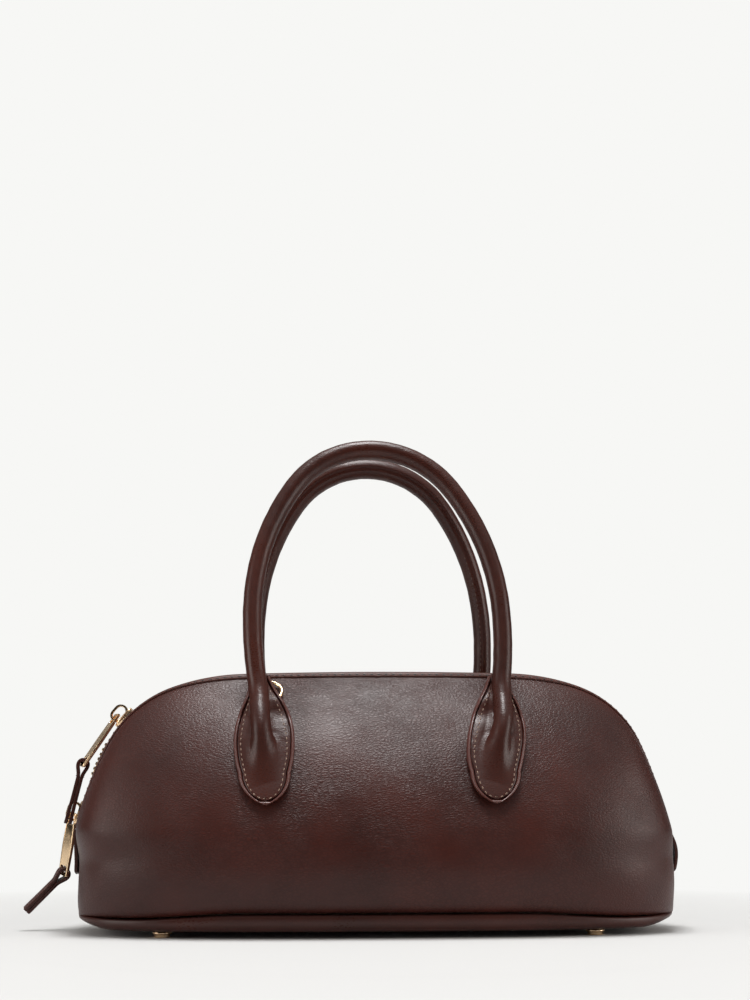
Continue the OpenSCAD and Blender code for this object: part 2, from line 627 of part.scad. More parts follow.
module ring_keeper_shape() ring_place() difference() {
    translate([-keeper_w / 2, -ring_r - keeper_l, -ring_wire])
        cube([keeper_w, keeper_l + keeper_over, keeper_h]);
    rotate_extrude($fn = 96) translate([ring_r, 0]) circle(r = ring_wire + lay, $fn = 24);
}
module front_ring_keeper() color(leather_dark) left() ring_keeper_shape();
module back_ring_keeper() color(leather_dark) to_back() ring_keeper_shape();

// Sliders. A slider's own frame has the arc's centre at its origin, and the slider stands over it on +Z,
// with -X pointing down the zip; turning it about Y by minus the slope parks it at the left end
top_plate_t = 1.1;
top_plate_off = tooth_up + run;
slider_top = top_plate_off + top_plate_t;
low_plate_t = 1;
low_plate_off = tape_low - run - low_plate_t - 0.5 * tape_t;
low_plate_w = 0.875 * slider_w;
post_w = channel_w - 4 * lay / 2;
post_l = 2.6;
flange_t = 0.8;
flange_low = binding_t / 3;
bridge_w = 2.2;
bridge_r = 3.6;
bridge_hole_r = 2.3;
bridge_half_l = 1.4;
bridge_up = 3;
crossbar_r = 0.8;
module arc_block(r, off0, off1, w, l, x0 = 0) intersection() {
    rotate([90, 0, 0]) rotate_extrude($fn = 180) translate([r + off0, -w / 2]) square([off1 - off0, w]);
    translate([x0 - l / 2, -w / 2 - over, 0]) cube([l, w + 2 * over, r + off1 + over]);
}
module slider_outline(l, w) {
    nose = w * 0.3;
    polygon([[-l / 2, -nose], [-l / 4, -w / 2], [l / 2 - w / 5, -w / 2], [l / 2, -w / 3],
             [l / 2, w / 3], [l / 2 - w / 5, w / 2], [-l / 4, w / 2], [-l / 2, nose]]);
}
module bridge_shape(r) { for (x = [-1, 1]) translate([x * bridge_half_l, 0]) circle(r = r, $fn = 48);
    translate([-bridge_half_l, -r]) square([2 * bridge_half_l, 2 * r]); }
module slider(r) difference() {
    union() {
        intersection() {
            union() {
                arc_block(r, top_plate_off, slider_top, slider_w, slider_l);
                for (y = [-1, 1]) translate([0, y * (slider_w - flange_t) / 2, 0])
                    arc_block(r, flange_low, top_plate_off + top_plate_t / 2, flange_t, slider_l);
            }
            linear_extrude(r + 2 * slider_top) slider_outline(slider_l, slider_w);
        }
        arc_block(r, low_plate_off, low_plate_off + low_plate_t, low_plate_w, slider_l * 0.8);
        arc_block(r, low_plate_off + low_plate_t / 2, top_plate_off + top_plate_t / 2, post_w, post_l, slider_l / 4);
        translate([0, 0, r + slider_top - run]) intersection() {
            translate([0, 0, bridge_up]) rotate([90, 0, 0]) linear_extrude(bridge_w, center = true) difference() {
                bridge_shape(bridge_r);
                bridge_shape(bridge_hole_r);
            }
            translate([-slider_l, -slider_w, 0]) cube([2 * slider_l, 2 * slider_w, 4 * bridge_r]);
        }
    }
}
// a slider's crossbar sits in the lower end of its bridge
function on_left(c) = [-c[0], 0, c[1]];
crossbar_up = slider_top - run + bridge_up;
function parked(c, r, slope, x, up) = on_left(c)
    + [-sin(slope) * (r + up) + cos(slope) * x, 0, cos(slope) * (r + up) + sin(slope) * x];
upper_bar = parked(shoulder_c, shoulder_r, upper_park, -bridge_half_l, crossbar_up);
lower_bar = parked(end_c, end_r, lower_park, -bridge_half_l, crossbar_up);
module upper_slider() color(gold) translate(on_left(shoulder_c)) rotate([0, -upper_park, 0]) slider(shoulder_r);
module lower_slider() color(gold) translate(on_left(end_c)) rotate([0, -lower_park, 0]) slider(end_r);

// Pulls. A pull hangs along -Z from its crossbar, with its broad faces square to X
arm_in = bridge_w / 2 + 5 * run;
arm_w = 1.2;
arm_t = 1.3;
arm_l = 5;
neck_half_w = arm_in + arm_w;
tip_half_w = 0.42 * pull_w;
wide_at_share = 0.5;
bar_l = 2;
slot_l = thong_t + bar_l / 2;
slot_w = thong_w + 2 * run;
pull_bevel = 0.35;
function pull_outline(d) = [[-neck_half_w + d, -arm_l + d], [-pull_w / 2 + d, -wide_at_share * pull_l],
    [-tip_half_w + d, -pull_l + d], [tip_half_w - d, -pull_l + d], [pull_w / 2 - d, -wide_at_share * pull_l],
    [neck_half_w - d, -arm_l + d]];
module pull_sheet(d, t) rotate([90, 0, 90]) linear_extrude(t, center = true) polygon(pull_outline(d));
module pull() {
    rotate([90, 0, 0]) cylinder(r = crossbar_r, h = 2 * neck_half_w, center = true, $fn = 32);
    for (y = [-1, 1]) translate([-arm_t / 2, y * (arm_in + arm_w / 2) - arm_w / 2, -arm_l - crossbar_r])
        cube([arm_t, arm_w, arm_l + crossbar_r]);
    difference() {
        union() {
            pull_sheet(0, pull_t - 2 * pull_bevel);
            pull_sheet(2 * pull_bevel, pull_t);
        }
        translate([-pull_t, -slot_w / 2, -pull_l + bar_l]) cube([2 * pull_t, slot_w, slot_l]);
    }
}
// angles of the parked pulls: swing from hanging, lean along the bag's depth, twist about their own length
upper_pull_pose = [31, -9, 8];
lower_pull_pose = [8, 9, 20];
module posed(at, pose)
    translate(at) rotate([0, pose[0], 0]) rotate([pose[1], 0, 0]) rotate([0, 0, pose[2]]) children();
module upper_pull() color(gold) posed(upper_bar, upper_pull_pose) pull();
module lower_pull() color(gold) posed(lower_bar, lower_pull_pose) pull();

// Thongs: a strip folded round the bar at a pull's tip, its two leaves sewn together
thong_hole_r = 1.6;
thong_out_r = thong_hole_r + thong_t;
leaf_gap = 0.2;
module thong(l) rotate([90, 0, 0]) linear_extrude(thong_w, center = true) difference() {
    union() {
        circle(r = thong_out_r, $fn = 48);
        translate([-thong_t - leaf_gap / 2, -l]) square([2 * thong_t + leaf_gap, l - thong_hole_r]);
    }
    circle(r = thong_hole_r, $fn = 48);
    translate([-leaf_gap / 2, -l - over]) square([leaf_gap, 0.45 * l]);
}
function turned(v, pose) = let (
    a = [v[0] * cos(pose[2]) - v[1] * sin(pose[2]), v[0] * sin(pose[2]) + v[1] * cos(pose[2]), v[2]],
    b = [a[0], a[1] * cos(pose[1]) - a[2] * sin(pose[1]), a[1] * sin(pose[1]) + a[2] * cos(pose[1])])
    [b[0] * cos(pose[0]) + b[2] * sin(pose[0]), b[1], -b[0] * sin(pose[0]) + b[2] * cos(pose[0])];
thong_at = [0, 0, -pull_l + bar_l / 2];
// swing of each thong on its pull, in degrees
upper_thong_swing = -20;
lower_thong_swing = 38;
upper_thong_bar = upper_bar + turned(thong_at, upper_pull_pose);
lower_thong_bar = lower_bar + turned(thong_at, lower_pull_pose);
module upper_thong() color(leather_dark) posed(upper_thong_bar, upper_pull_pose)
    rotate([0, upper_thong_swing, 0]) thong(upper_thong_l);
module lower_thong() color(leather_dark) posed(lower_thong_bar, lower_pull_pose)
    rotate([0, lower_thong_swing, 0]) thong(lower_thong_l);

module reinforcements() for (m = [0, 1]) mirror([m, 0, 0])
    shell(reinforce_grid(reinforce_off), reinforce_grid(reinforce_off - reinforce_t));
module front_reinforcements() color("#8a8078") reinforcements();
module back_reinforcements() color("#8a8078") to_back() reinforcements();

front_panel();
back_panel();
base_panel();
base_band();
base_board();
floor_lining();
front_lining();
back_lining();
slip_pocket();
feet();
foot_washers();
front_zip_tape();
back_zip_tape();
front_zip_teeth();
back_zip_teeth();
front_binding();
back_binding();
left_end_tab();
right_end_tab();
front_left_patch();
front_right_patch();
back_left_patch();
back_right_patch();
front_left_tab();
front_right_tab();
back_left_tab();
back_right_tab();
front_reinforcements();
back_reinforcements();
front_handle();
back_handle();
front_handle_core();
back_handle_core();
front_ring_keeper();
back_ring_keeper();
front_strap_ring();
back_strap_ring();
upper_slider();
lower_slider();
upper_pull();
lower_pull();
upper_thong();
lower_thong();
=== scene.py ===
"""Looks of a small top handle bag: dark brown grained leather, pale gold metal.

Lengths are written in millimetres and turned into metres where a mesh is made.
X runs along the bag, the front panel faces -Y, Z is up, and the feet stand on Z = 0.
"""
import math
from contextlib import contextmanager
from functools import partial

import bpy
import numpy as np
from mathutils import Matrix, Vector


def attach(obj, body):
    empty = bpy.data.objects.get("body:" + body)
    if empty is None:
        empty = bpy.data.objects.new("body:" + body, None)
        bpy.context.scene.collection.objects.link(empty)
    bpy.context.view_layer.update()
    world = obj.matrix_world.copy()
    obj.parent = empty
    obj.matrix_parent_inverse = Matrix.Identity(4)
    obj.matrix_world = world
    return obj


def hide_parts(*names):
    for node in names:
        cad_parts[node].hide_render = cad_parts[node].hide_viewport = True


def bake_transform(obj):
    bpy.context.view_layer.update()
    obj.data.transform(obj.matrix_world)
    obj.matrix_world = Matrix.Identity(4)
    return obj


MM = 0.001
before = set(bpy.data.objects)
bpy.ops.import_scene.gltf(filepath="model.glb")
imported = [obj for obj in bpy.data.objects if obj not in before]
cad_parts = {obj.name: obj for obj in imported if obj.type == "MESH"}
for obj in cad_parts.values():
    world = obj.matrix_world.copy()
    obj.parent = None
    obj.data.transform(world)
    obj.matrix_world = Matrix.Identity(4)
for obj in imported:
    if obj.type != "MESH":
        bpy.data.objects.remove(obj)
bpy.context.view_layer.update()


# camera: degrees, millimetres, and pixels of a photograph that is 1000 high
CAMERA_YAW, CAMERA_PITCH = 4.381, 10.245
CAMERA_FAR, CAMERA_UP = 614.35, 48.27
FOCAL_PX, PHOTO_H_PX, SENSOR_MM = 1175.8, 1000, 36
SHIFT_X, SHIFT_Y = -0.0003, 0.11996
NEAREST_M, FARTHEST_M = 0.02, 60


def set_camera():
    """The photograph's viewpoint: low, a little to the left, looking slightly up."""
    yaw, pitch = math.radians(CAMERA_YAW), math.radians(CAMERA_PITCH)
    eye = Vector((-CAMERA_FAR * math.sin(yaw), -CAMERA_FAR * math.cos(yaw), CAMERA_UP)) * MM
    bpy.ops.object.camera_add(location=eye, rotation=(math.radians(90) + pitch, 0, -yaw))
    camera = bpy.context.object
    camera.data.sensor_fit = "AUTO"
    camera.data.sensor_width = SENSOR_MM
    camera.data.lens = FOCAL_PX / PHOTO_H_PX * SENSOR_MM
    camera.data.shift_x, camera.data.shift_y = SHIFT_X, SHIFT_Y
    camera.data.clip_start, camera.data.clip_end = NEAREST_M, FARTHEST_M
    bpy.context.scene.camera = camera


# the bag's own surface, as in its source
def sin(a):
    return math.sin(math.radians(a))


def cos(a):
    return math.cos(math.radians(a))


BODY_W, BODY_D, BASE_D = 302, 128, 114
CROWN_H, FULL_H, SEAM_H = 129, 33, 11
GUSSET_W, WALL = 24, 1.8
HALF_W, HALF_D, HALF_G = BODY_W / 2, BODY_D / 2, GUSSET_W / 2
PLAN, LEAN = 2.9, 1.8
SEAM_GAP, LIP, TAPER = 0.3, 0.6, 17
# the zip's line after the crown: upper, shoulder, end and side arcs, and the slopes where they start
RADII = (110, 54, 210, 120)
SLOPES = (1.6, 20, 66, 78)
SHOULDER, END = 2, 3


def turn(slope, r):
    return np.array([r * sin(slope), r * cos(slope)])


def arc_chain(top, radii, slopes):
    """Arcs that run on into each other from a top height down: (radius, first slope, last slope, centre)."""
    made, centre, last = [], np.array([0.0, top]), 0.0
    for radius, start, end in zip(radii, slopes, slopes[1:]):
        centre = centre + turn(start, last - radius)
        made.append((radius, start, end, centre))
        last = radius
    return made


def zip_line():
    """The outline's arcs from the crown down to the base seam. The crown's radius fills up the width."""
    slopes, flat = (*SLOPES, 90), HALF_W
    for radius, start, end in zip(RADII, slopes, slopes[1:]):
        flat -= radius * (sin(end) - sin(start))
    made = arc_chain(CROWN_H, (flat / sin(SLOPES[0]), *RADII), (0, *slopes))
    radius, start, end, centre = made[-1]
    made[-1] = radius, start, math.degrees(math.acos((SEAM_H - centre[1]) / radius)), centre
    return made


ARCS = zip_line()
TOPS = [c[1] + r * cos(a) for r, a, b, c in ARCS]
ARC_ENDS = np.cumsum([r * math.radians(b - a) for r, a, b, c in ARCS])
ZIP_HALF, SEAM_HALF = ARC_ENDS[3], ARC_ENDS[4]
ZIP_END_H = ARCS[4][3][1] + ARCS[4][0] * cos(SLOPES[3])


def smooth(v):
    c = np.clip(v, 0, 1)
    return c * c * (3 - 2 * c)


def fade(value, start, over):
    """0 until a value reaches its start, and 1 once it is past it by over."""
    return smooth((value - start) / over)


def chain_at(arcs, s):
    """Points and slopes along a chain of arcs, at lengths s from its top; minus is the left half."""
    s = np.asarray(s, float)
    q, ends = np.abs(s), np.cumsum([r * math.radians(b - a) for r, a, b, c in arcs])
    x, z, slope, start = np.zeros_like(q), np.zeros_like(q), np.zeros_like(q), 0.0
    for i, (r, a, b, c) in enumerate(arcs):
        here = (q >= start) & ((q <= ends[i]) | (i == len(arcs) - 1))
        f = np.radians(a) + (q - start) / r
        x, z = np.where(here, c[0] + r * np.sin(f), x), np.where(here, c[1] + r * np.cos(f), z)
        slope, start = np.where(here, f, slope), ends[i]
    side = np.where(s < 0, -1.0, 1.0)
    return side * x, z, slope, side


def rim(s, off=0.0):
    x, z, slope, side = chain_at(ARCS, s)
    return x + side * off * np.sin(slope), z + off * np.cos(slope)


def half_width(z):
    z = np.asarray(z, float)
    out = np.zeros_like(z)
    for i in (4, 3, 2, 1, 0):
        r, a, b, c = ARCS[i]
        v = np.clip((z - c[1]) / r, -1, 1)
        reach = c[0] + r * np.sqrt(1 - v * v)
        out = reach if i == 4 else np.where(z > TOPS[i + 1], reach, out)
    return np.maximum(out, BODY_W / 1000)


def half_gap(z):
    return SEAM_GAP + (HALF_G - SEAM_GAP) * smooth((z - ZIP_END_H + TAPER) / TAPER)


def half_depth(z):
    up = np.clip((z - FULL_H) / (CROWN_H - FULL_H), 0, 1)
    down = np.maximum(0, FULL_H - z) / (FULL_H - SEAM_H)
    return np.where(z > FULL_H, HALF_G + LIP + (HALF_D - HALF_G - LIP) * (1 - up ** LEAN),
                    HALF_D - (HALF_D - BASE_D / 2) * down ** 2)


def depth_at(x, z):
    gap, share = half_gap(z), np.minimum(1, np.abs(x) / half_width(z))
    return gap + (half_depth(z) - gap) * np.maximum(0, 1 - share ** PLAN) ** (1 / PLAN)


def base_x(u):
    return np.sign(u) * half_width(SEAM_H) * np.sin(np.pi / 2 * np.abs(u) ** 1.25) ** (2 / PLAN)


def net_point(u, t):
    """Front surface at u, -1 to 1 from seam to seam, and t, 0 at the zip to 1 at the base."""
    rx, rz = rim(u * SEAM_HALF)
    x, z = rx + (base_x(u) - rx) * t, rz + (SEAM_H - rz) * t
    return xyz(x, -depth_at(x, z), z)


def unit(v):
    return v / np.maximum(np.linalg.norm(v, axis=-1, keepdims=True), 1e-9)


def xyz(x, y, z):
    return np.stack(np.broadcast_arrays(x, y, z), -1)


def lengths(line):
    """How far along a line each of its points is."""
    return np.concatenate([[0], np.cumsum(np.linalg.norm(np.diff(line, axis=0), axis=1))])


def read_off(at, marks, table):
    """Rows of a table, read off between its marks."""
    return np.stack([np.interp(at, marks, column) for column in np.transpose(table)], -1)


def net(u, t, off):
    """Front surface at u and t, moved out by off along its own normal."""
    u, t = np.broadcast_arrays(np.asarray(u, float), np.asarray(t, float))
    e = 0.002
    p = net_point(u, t)
    du = net_point(np.minimum(u + e, 0.9995), t) - net_point(np.maximum(u - e, -0.9995), t)
    dt = net_point(u, np.minimum(t + e, 1)) - net_point(u, np.maximum(t - e, 0))
    return p + np.asarray(off)[..., None] * unit(np.cross(dt, du))


def skin(x, z, off):
    """Front surface over x and z, moved out by off."""
    x, z = np.broadcast_arrays(np.asarray(x, float), np.asarray(z, float))
    e = 0.4
    y = depth_at(x, z)
    dx = (depth_at(x + e, z) - depth_at(x - e, z)) / (2 * e)
    dz = (depth_at(x, z + e) - depth_at(x, z - e)) / (2 * e)
    n = unit(xyz(-dx, -np.ones_like(x), -dz))
    return xyz(x, -y, z) + np.asarray(off)[..., None] * n


# rise per length along the bag, the crown's shift to the right, how far the lower left end is drawn in, how far
# the seam sinks, and which share of its height the base curls up at its ends
TILT, SHIFTED, DRAWN_IN, SUNK, CURL = 1.84 / 150, 0.15, 3.3, 2.5, 0.5


def settle(p):
    """How the soft bag has settled: up to the right, in at the lower left, and down at the corners."""
    x, y, z = p[..., 0], p[..., 1], p[..., 2]
    up = fade(z, 40, 80)
    left = fade(-x, 95, 50) * (1 - fade(z, 32, 22))
    sunk = fade(np.abs(x), 62, 60) * np.clip((z - 3) / 8, 0, 1) * (1 - fade(z, 11, 30))
    return xyz(x + SHIFTED * up + DRAWN_IN * left, y, z + TILT * x * up - SUNK * sunk)


# the bench: small helpers for making pieces
def alone(piece=None):
    bpy.ops.object.select_all(action="DESELECT")
    if piece is not None:
        piece.select_set(True)
        bpy.context.view_layer.objects.active = piece
    return piece


def points_of(piece):
    co = np.zeros(len(piece.data.vertices) * 3, np.float32)
    piece.data.vertices.foreach_get("co", co)
    return co.reshape(-1, 3).astype(float)


def put_points(piece, points):
    piece.data.vertices.foreach_set("co", (np.asarray(points) * MM).astype(np.float32).ravel())
    piece.data.update()


@contextmanager
def reshaped(piece):
    """A piece's points in millimetres, put back as they are left."""
    co = points_of(piece) / MM
    yield co
    put_points(piece, co)


@contextmanager
def edited(piece, picked=True):
    """Edit mode on one piece, with all or none of its mesh picked."""
    alone(piece)
    bpy.ops.object.mode_set(mode="EDIT")
    bpy.ops.mesh.select_all(action="SELECT" if picked else "DESELECT")
    yield
    bpy.ops.object.mode_set(mode="OBJECT")


def tidy(piece, merge=0.004):
    """Merges doubled points and turns the faces outward."""
    with edited(piece):
        bpy.ops.mesh.remove_doubles(threshold=merge * MM)
        bpy.ops.mesh.normals_make_consistent(inside=False)
    return piece


def cut_sheet(name, cols, rows, place, closed=False):
    """A sheet of quads laid by place(u, v), both from 0 to 1. Closed ones meet themselves and are merged."""
    alone()
    bpy.ops.mesh.primitive_grid_add(x_subdivisions=cols, y_subdivisions=rows, size=1)
    piece = bpy.context.object
    piece.name = piece.data.name = name
    co = points_of(piece)
    put_points(piece, place(co[:, 0] + 0.5, co[:, 1] + 0.5))
    if closed:
        tidy(piece)
    return piece


def block(size, at=(0, 0, 0)):
    alone()
    bpy.ops.mesh.primitive_cube_add(size=1, scale=[side * MM for side in size],
                                    location=[part * MM for part in at])
    bpy.ops.object.transform_apply(location=True, rotation=True, scale=True)
    return bpy.context.object


def facing(piece, direction):
    """Flips an open sheet whose faces look against direction."""
    normals = np.array([face.normal for face in piece.data.polygons])
    if (normals * np.array(direction)).sum(-1).mean() < 0:
        with edited(piece):
            bpy.ops.mesh.flip_normals()
    return piece


def worked(piece, kind, **settings):
    """Adds a modifier and applies it."""
    alone(piece)
    step = piece.modifiers.new(kind.lower(), kind)
    for key, value in settings.items():
        setattr(step, key, value)
    bpy.ops.object.modifier_apply(modifier=step.name)
    return piece


def eased_edges(piece, round_mm, segments=3, angle=50):
    """Rounds the edges that are sharper than angle."""
    return worked(piece, "BEVEL", width=round_mm * MM, segments=segments, limit_method="ANGLE",
                  angle_limit=math.radians(angle))


def shaded(piece, angle=None):
    """Smooth shading, with edges sharper than angle kept crisp."""
    alone(piece)
    if angle is None:
        bpy.ops.object.shade_smooth()
    else:
        bpy.ops.object.shade_smooth_by_angle(angle=math.radians(angle))
    return piece


def joined(name, *pieces):
    alone()
    for piece in pieces:
        piece.select_set(True)
    bpy.context.view_layer.objects.active = pieces[0]
    bpy.ops.object.join()
    made = bpy.context.object
    made.name = made.data.name = name
    return made


def thick_sheet(name, cols, rows, place, way, mm, round_mm=0.0, segments=2, even=True, closed=False,
                angle=60):
    """A sheet that faces a way, given its thickness inwards."""
    piece = facing(cut_sheet(name, cols, rows, place, closed), way)
    worked(piece, "SOLIDIFY", thickness=mm * MM, offset=-1.0, use_even_offset=even)
    if round_mm:
        eased_edges(piece, round_mm, segments)
    return shaded(piece, angle)


def copied(template, places, name):
    """Copies of one modelled piece, each with its own mesh, joined into one."""
    made = []
    for place in places:
        twin = template.copy()
        twin.data = template.data.copy()
        twin.data.transform(place)
        bpy.context.scene.collection.objects.link(twin)
        made.append(twin)
    bpy.data.objects.remove(template)
    return joined(name, *made)


def seat(at, along, up):
    """Matrix that sets a template, made along X with Z up, at a point in mm."""
    x = Vector(along).normalized()
    z = Vector(up)
    z = (z - x * z.dot(x)).normalized()
    y = z.cross(x)
    m = Matrix((x, y, z)).transposed().to_4x4()
    m.translation = Vector(at) * MM
    return m


def fasten(piece, finish, body, slot, *nodes):
    """Gives a piece its finish, its body and the nodes that it stands for; slot is not used."""
    piece.data.materials.clear()
    piece.data.materials.append(finish)
    if body:
        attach(piece, body)
    if nodes:
        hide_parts(*nodes)
    return piece


# finishes: shader values that can be added up, and the materials that are built from them
class Line:
    """A shader value: numbers and other lines may be added, taken away or multiplied."""

    def __init__(self, finish, socket):
        self.finish, self.socket = finish, socket

    def _do(self, operation, a, b):
        return self.finish.node("Math", {"operation": operation}, [a, b])

    def __add__(self, other):
        return self._do("ADD", self, other)

    def __sub__(self, other):
        return self._do("SUBTRACT", self, other)

    def __rsub__(self, other):
        return self._do("SUBTRACT", other, self)

    def __mul__(self, other):
        return self._do("MULTIPLY", self, other)

    def clamped(self):
        return self._do("MINIMUM", self._do("MAXIMUM", self, 0.0), 1.0)

class Finish:
    """One material, or the room's light, built up node by node."""

    def __init__(self, name, store=None, end="Material"):
        self.material = (bpy.data.materials if store is None else store).new(name)
        self.material.use_nodes = True
        self.tree, self.end = self.material.node_tree, f"ShaderNodeOutput{end}"
        self.tree.nodes.clear()

    def node(self, kind, settings=None, values=(), out=0):
        """Makes a node: its settings first, then the values or lines of its inputs, by place or by name."""
        made = self.tree.nodes.new(f"ShaderNode{kind}")
        for key, value in (settings or {}).items():
            if key == "stops":
                ramp = made.color_ramp
                while len(ramp.elements) < len(value):
                    ramp.elements.new(0.5)
                for element, (place, colour) in zip(ramp.elements, value):
                    element.position, element.color = place, (*colour, 1)
            else:
                setattr(made, key, value)
        pairs = values.items() if isinstance(values, dict) else enumerate(values)
        for key, value in pairs:
            if isinstance(value, Line):
                self.tree.links.new(value.socket, made.inputs[key])
            elif value is not None:
                slot = made.inputs[key]
                slot.default_value = (*value, 1) if slot.type == "RGBA" and len(value) == 3 else value
        return Line(self, made.outputs[out])

    def places(self, scale=(1, 1, 1)):
        """The piece's own coordinates, in units of one over scale metres."""
        return self.scaled(self.node("TexCoord", out=3), scale)

    def scaled(self, at, scale):
        return self.node("Mapping", {"vector_type": "POINT"}, {"Vector": at, "Scale": scale})

    def noise(self, at, scale, detail, rough=0.5, warp=0.0):
        return self.node("TexNoise", None,
                         {"Vector": at, "Scale": scale, "Detail": detail, "Roughness": rough,
                          "Distortion": warp})

    def cells(self, at, scale, feature="F1"):
        return self.node("TexVoronoi", {"feature": feature}, {"Vector": at, "Scale": scale})

    def ramp(self, value, *stops):
        return self.node("ValToRGB", {"stops": stops}, [value])

    def mix(self, share, a, b):
        """Mixes two colours, or a colour and a line of colour."""
        return self.node("Mix", {"data_type": "RGBA"}, {0: share, 6: a, 7: b}, out=2)

    def stretch(self, value, low, high, to_low=0.0, to_high=1.0):
        return self.node("MapRange", None, [value, low, high, to_low, to_high])

    def bump(self, height, distance_mm, strength=1.0):
        return self.node("Bump", None,
                         {"Height": height, "Distance": distance_mm * MM, "Strength": strength})

    def done(self, **inputs):
        """Ends in a Principled shader. Inputs are its sockets' names, with _ for a space."""
        named = {key.replace("_", " "): value for key, value in inputs.items()}
        self.node_out(self.node("BsdfPrincipled", None, named))
        return self.material

    def node_out(self, shader):
        """Joins a shader to the material's own end."""
        self.tree.links.new(shader.socket, self.tree.nodes.new(self.end).inputs["Surface"])


def shade(red, green, blue):
    """A colour as it is read off a screen, 0 to 255, made linear."""
    def line(c):
        c = c / 255
        return c / 12.92 if c <= 0.04045 else ((c + 0.055) / 1.055) ** 2.4
    return line(red), line(green), line(blue)


def grained_leather(name, deep, face, grain, crease, gloss, coat):
    """Drum-dyed calf with a crinkled grain: fine wavy creases that run mostly along the bag, on small
    pebbles, with a soft change of colour between the hides' tighter and looser places."""
    f = Finish(name)
    at = f.places()
    drift = f.noise(at, 34.0, 2.0)
    bent = f.node("VectorMath", {"operation": "MULTIPLY_ADD"},
                  [f.node("TexNoise", None, {"Vector": at, "Scale": 60.0, "Detail": 1.0}, out=1),
                   (0.006, 0.006, 0.006), at])
    long_way = f.scaled(bent, (0.5, 1.0, 1.0))
    creases = 1.0 - f.stretch(f.cells(long_way, 860.0, "DISTANCE_TO_EDGE"), 0.0, 0.26)
    folds = f.noise(long_way, 520.0, 3.0, 0.65, 0.6)
    pores = f.cells(at, 2400.0)
    x = f.node("SeparateXYZ", None, [at])
    from_middle = f.node("Math", {"operation": "ABSOLUTE"}, [x])
    loose = f.stretch(drift, 0.34, 0.62, 0.5, 1.0) * f.stretch(from_middle, 0.085, 0.13, 1.0, 0.6)
    height = folds * 0.9 * loose - creases * 0.6 * crease * loose - pores * 0.04
    tone = f.noise(at, 22.0, 3.0, 0.55)
    colour = f.mix(f.stretch(tone, 0.3, 0.7), deep, face)
    # painted shade: the grain's crease hollows are mixed towards a darker colour
    colour = f.mix((creases * 0.45 * crease * loose).clamped(), colour, tuple(c * 0.4 for c in deep))
    rough = f.stretch(drift, 0.3, 0.7, gloss - 0.05, gloss + 0.06) + creases * 0.1
    return f.done(Base_Color=colour, Roughness=rough, Normal=f.bump(height, 0.095 * grain), Coat_Weight=coat,
                  Coat_Roughness=0.3, Specular_IOR_Level=0.28)


def painted_edge(name, colour):
    """Edge paint on cut leather: smooth, built up in coats, with faint ripples."""
    f = Finish(name)
    at = f.places()
    ripple = f.noise(at, 420.0, 2.0)
    tone = f.mix(f.noise(at, 90.0, 2.0), tuple(c * 0.8 for c in colour), tuple(c * 1.2 for c in colour))
    return f.done(Base_Color=tone, Roughness=f.stretch(ripple, 0.3, 0.7, 0.34, 0.46),
                  Normal=f.bump(ripple, 0.05, 0.6), Coat_Weight=0.25, Coat_Roughness=0.25)


def plated(name, colour, rough):
    """Pale gold plating, polished, with hair scratches and a little tarnish in its shade."""
    f = Finish(name)
    at = f.places((1, 1, 6))
    hairs = f.noise(at, 1400.0, 2.0, 0.6)
    haze = f.noise(f.places(), 160.0, 3.0)
    tone = f.mix(f.stretch(haze, 0.35, 0.7), tuple(c * 0.86 for c in colour), colour)
    return f.done(Base_Color=tone, Metallic=1.0, Normal=f.bump(hairs, 0.01, 0.35),
                  Roughness=f.stretch(haze, 0.3, 0.7, rough, rough + 0.1) + hairs * 0.04)


def woven(name, dark, light, per_metre):
    """Plain weave: over and under threads in both directions, with slubs."""
    f = Finish(name)
    at = f.places()

    def threads(axis):
        return f.node("TexWave", {"wave_type": "BANDS", "bands_direction": axis},
                      {"Vector": at, "Scale": per_metre, "Distortion": 0.6, "Detail": 1.0})

    cloth = threads("X") * 0.5 + threads("Z") * 0.5
    slub = f.noise(at, per_metre * 0.5, 2.0)
    return f.done(Base_Color=f.mix((cloth * 0.7 + slub * 0.3).clamped(), dark, light), Roughness=0.85,
                  Sheen_Weight=0.2, Normal=f.bump(cloth, 0.12))


def thread(name, colour, per_metre=1500.0):
    """Twisted waxed thread."""
    f = Finish(name)
    ply = f.node("TexWave", {"wave_type": "BANDS", "bands_direction": "DIAGONAL"},
                 {"Vector": f.places(), "Scale": per_metre, "Distortion": 0.4})
    return f.done(Base_Color=f.mix(ply, tuple(c * 0.55 for c in colour), colour), Roughness=0.55,
                  Normal=f.bump(ply, 0.08), Sheen_Weight=0.15)


def pressed_board(name, dark, light):
    """Grey-brown board pressed from fibres."""
    f = Finish(name)
    fibres = f.noise(f.places((1, 1, 4)), 700.0, 4.0, 0.7)
    return f.done(Base_Color=f.mix(fibres, dark, light), Roughness=0.9, Normal=f.bump(fibres, 0.05))


# finishes of this bag
panel_calf = grained_leather("panel_calf", shade(50, 21, 16), shade(69, 30, 23), 1.6, 1.0, 0.35, 0.04)
handle_calf = grained_leather("handle_calf", shade(54, 25, 19), shade(72, 35, 27), 0.8, 0.8, 0.29, 0.06)
trim_calf = grained_leather("trim_calf", shade(52, 25, 20), shade(70, 34, 27), 0.7, 0.7, 0.31, 0.05)
binding_calf = grained_leather("binding_calf", shade(66, 34, 28), shade(90, 52, 44), 0.5, 0.4, 0.34, 0.06)
edge_paint = painted_edge("edge_paint", shade(80, 40, 33))
seam_thread = thread("seam_thread", shade(22, 11, 9))
handle_thread = thread("handle_thread", shade(92, 62, 52))
tab_thread = thread("tab_thread", shade(172, 142, 122))
pale_gold = plated("pale_gold", shade(255, 222, 180), 0.16)
tooth_gold = plated("tooth_gold", shade(252, 220, 176), 0.22)
tape_weave = woven("tape_weave", shade(34, 20, 17), shade(58, 36, 30), 700.0)
lining_weave = woven("lining_weave", shade(70, 52, 44), shade(98, 76, 64), 900.0)
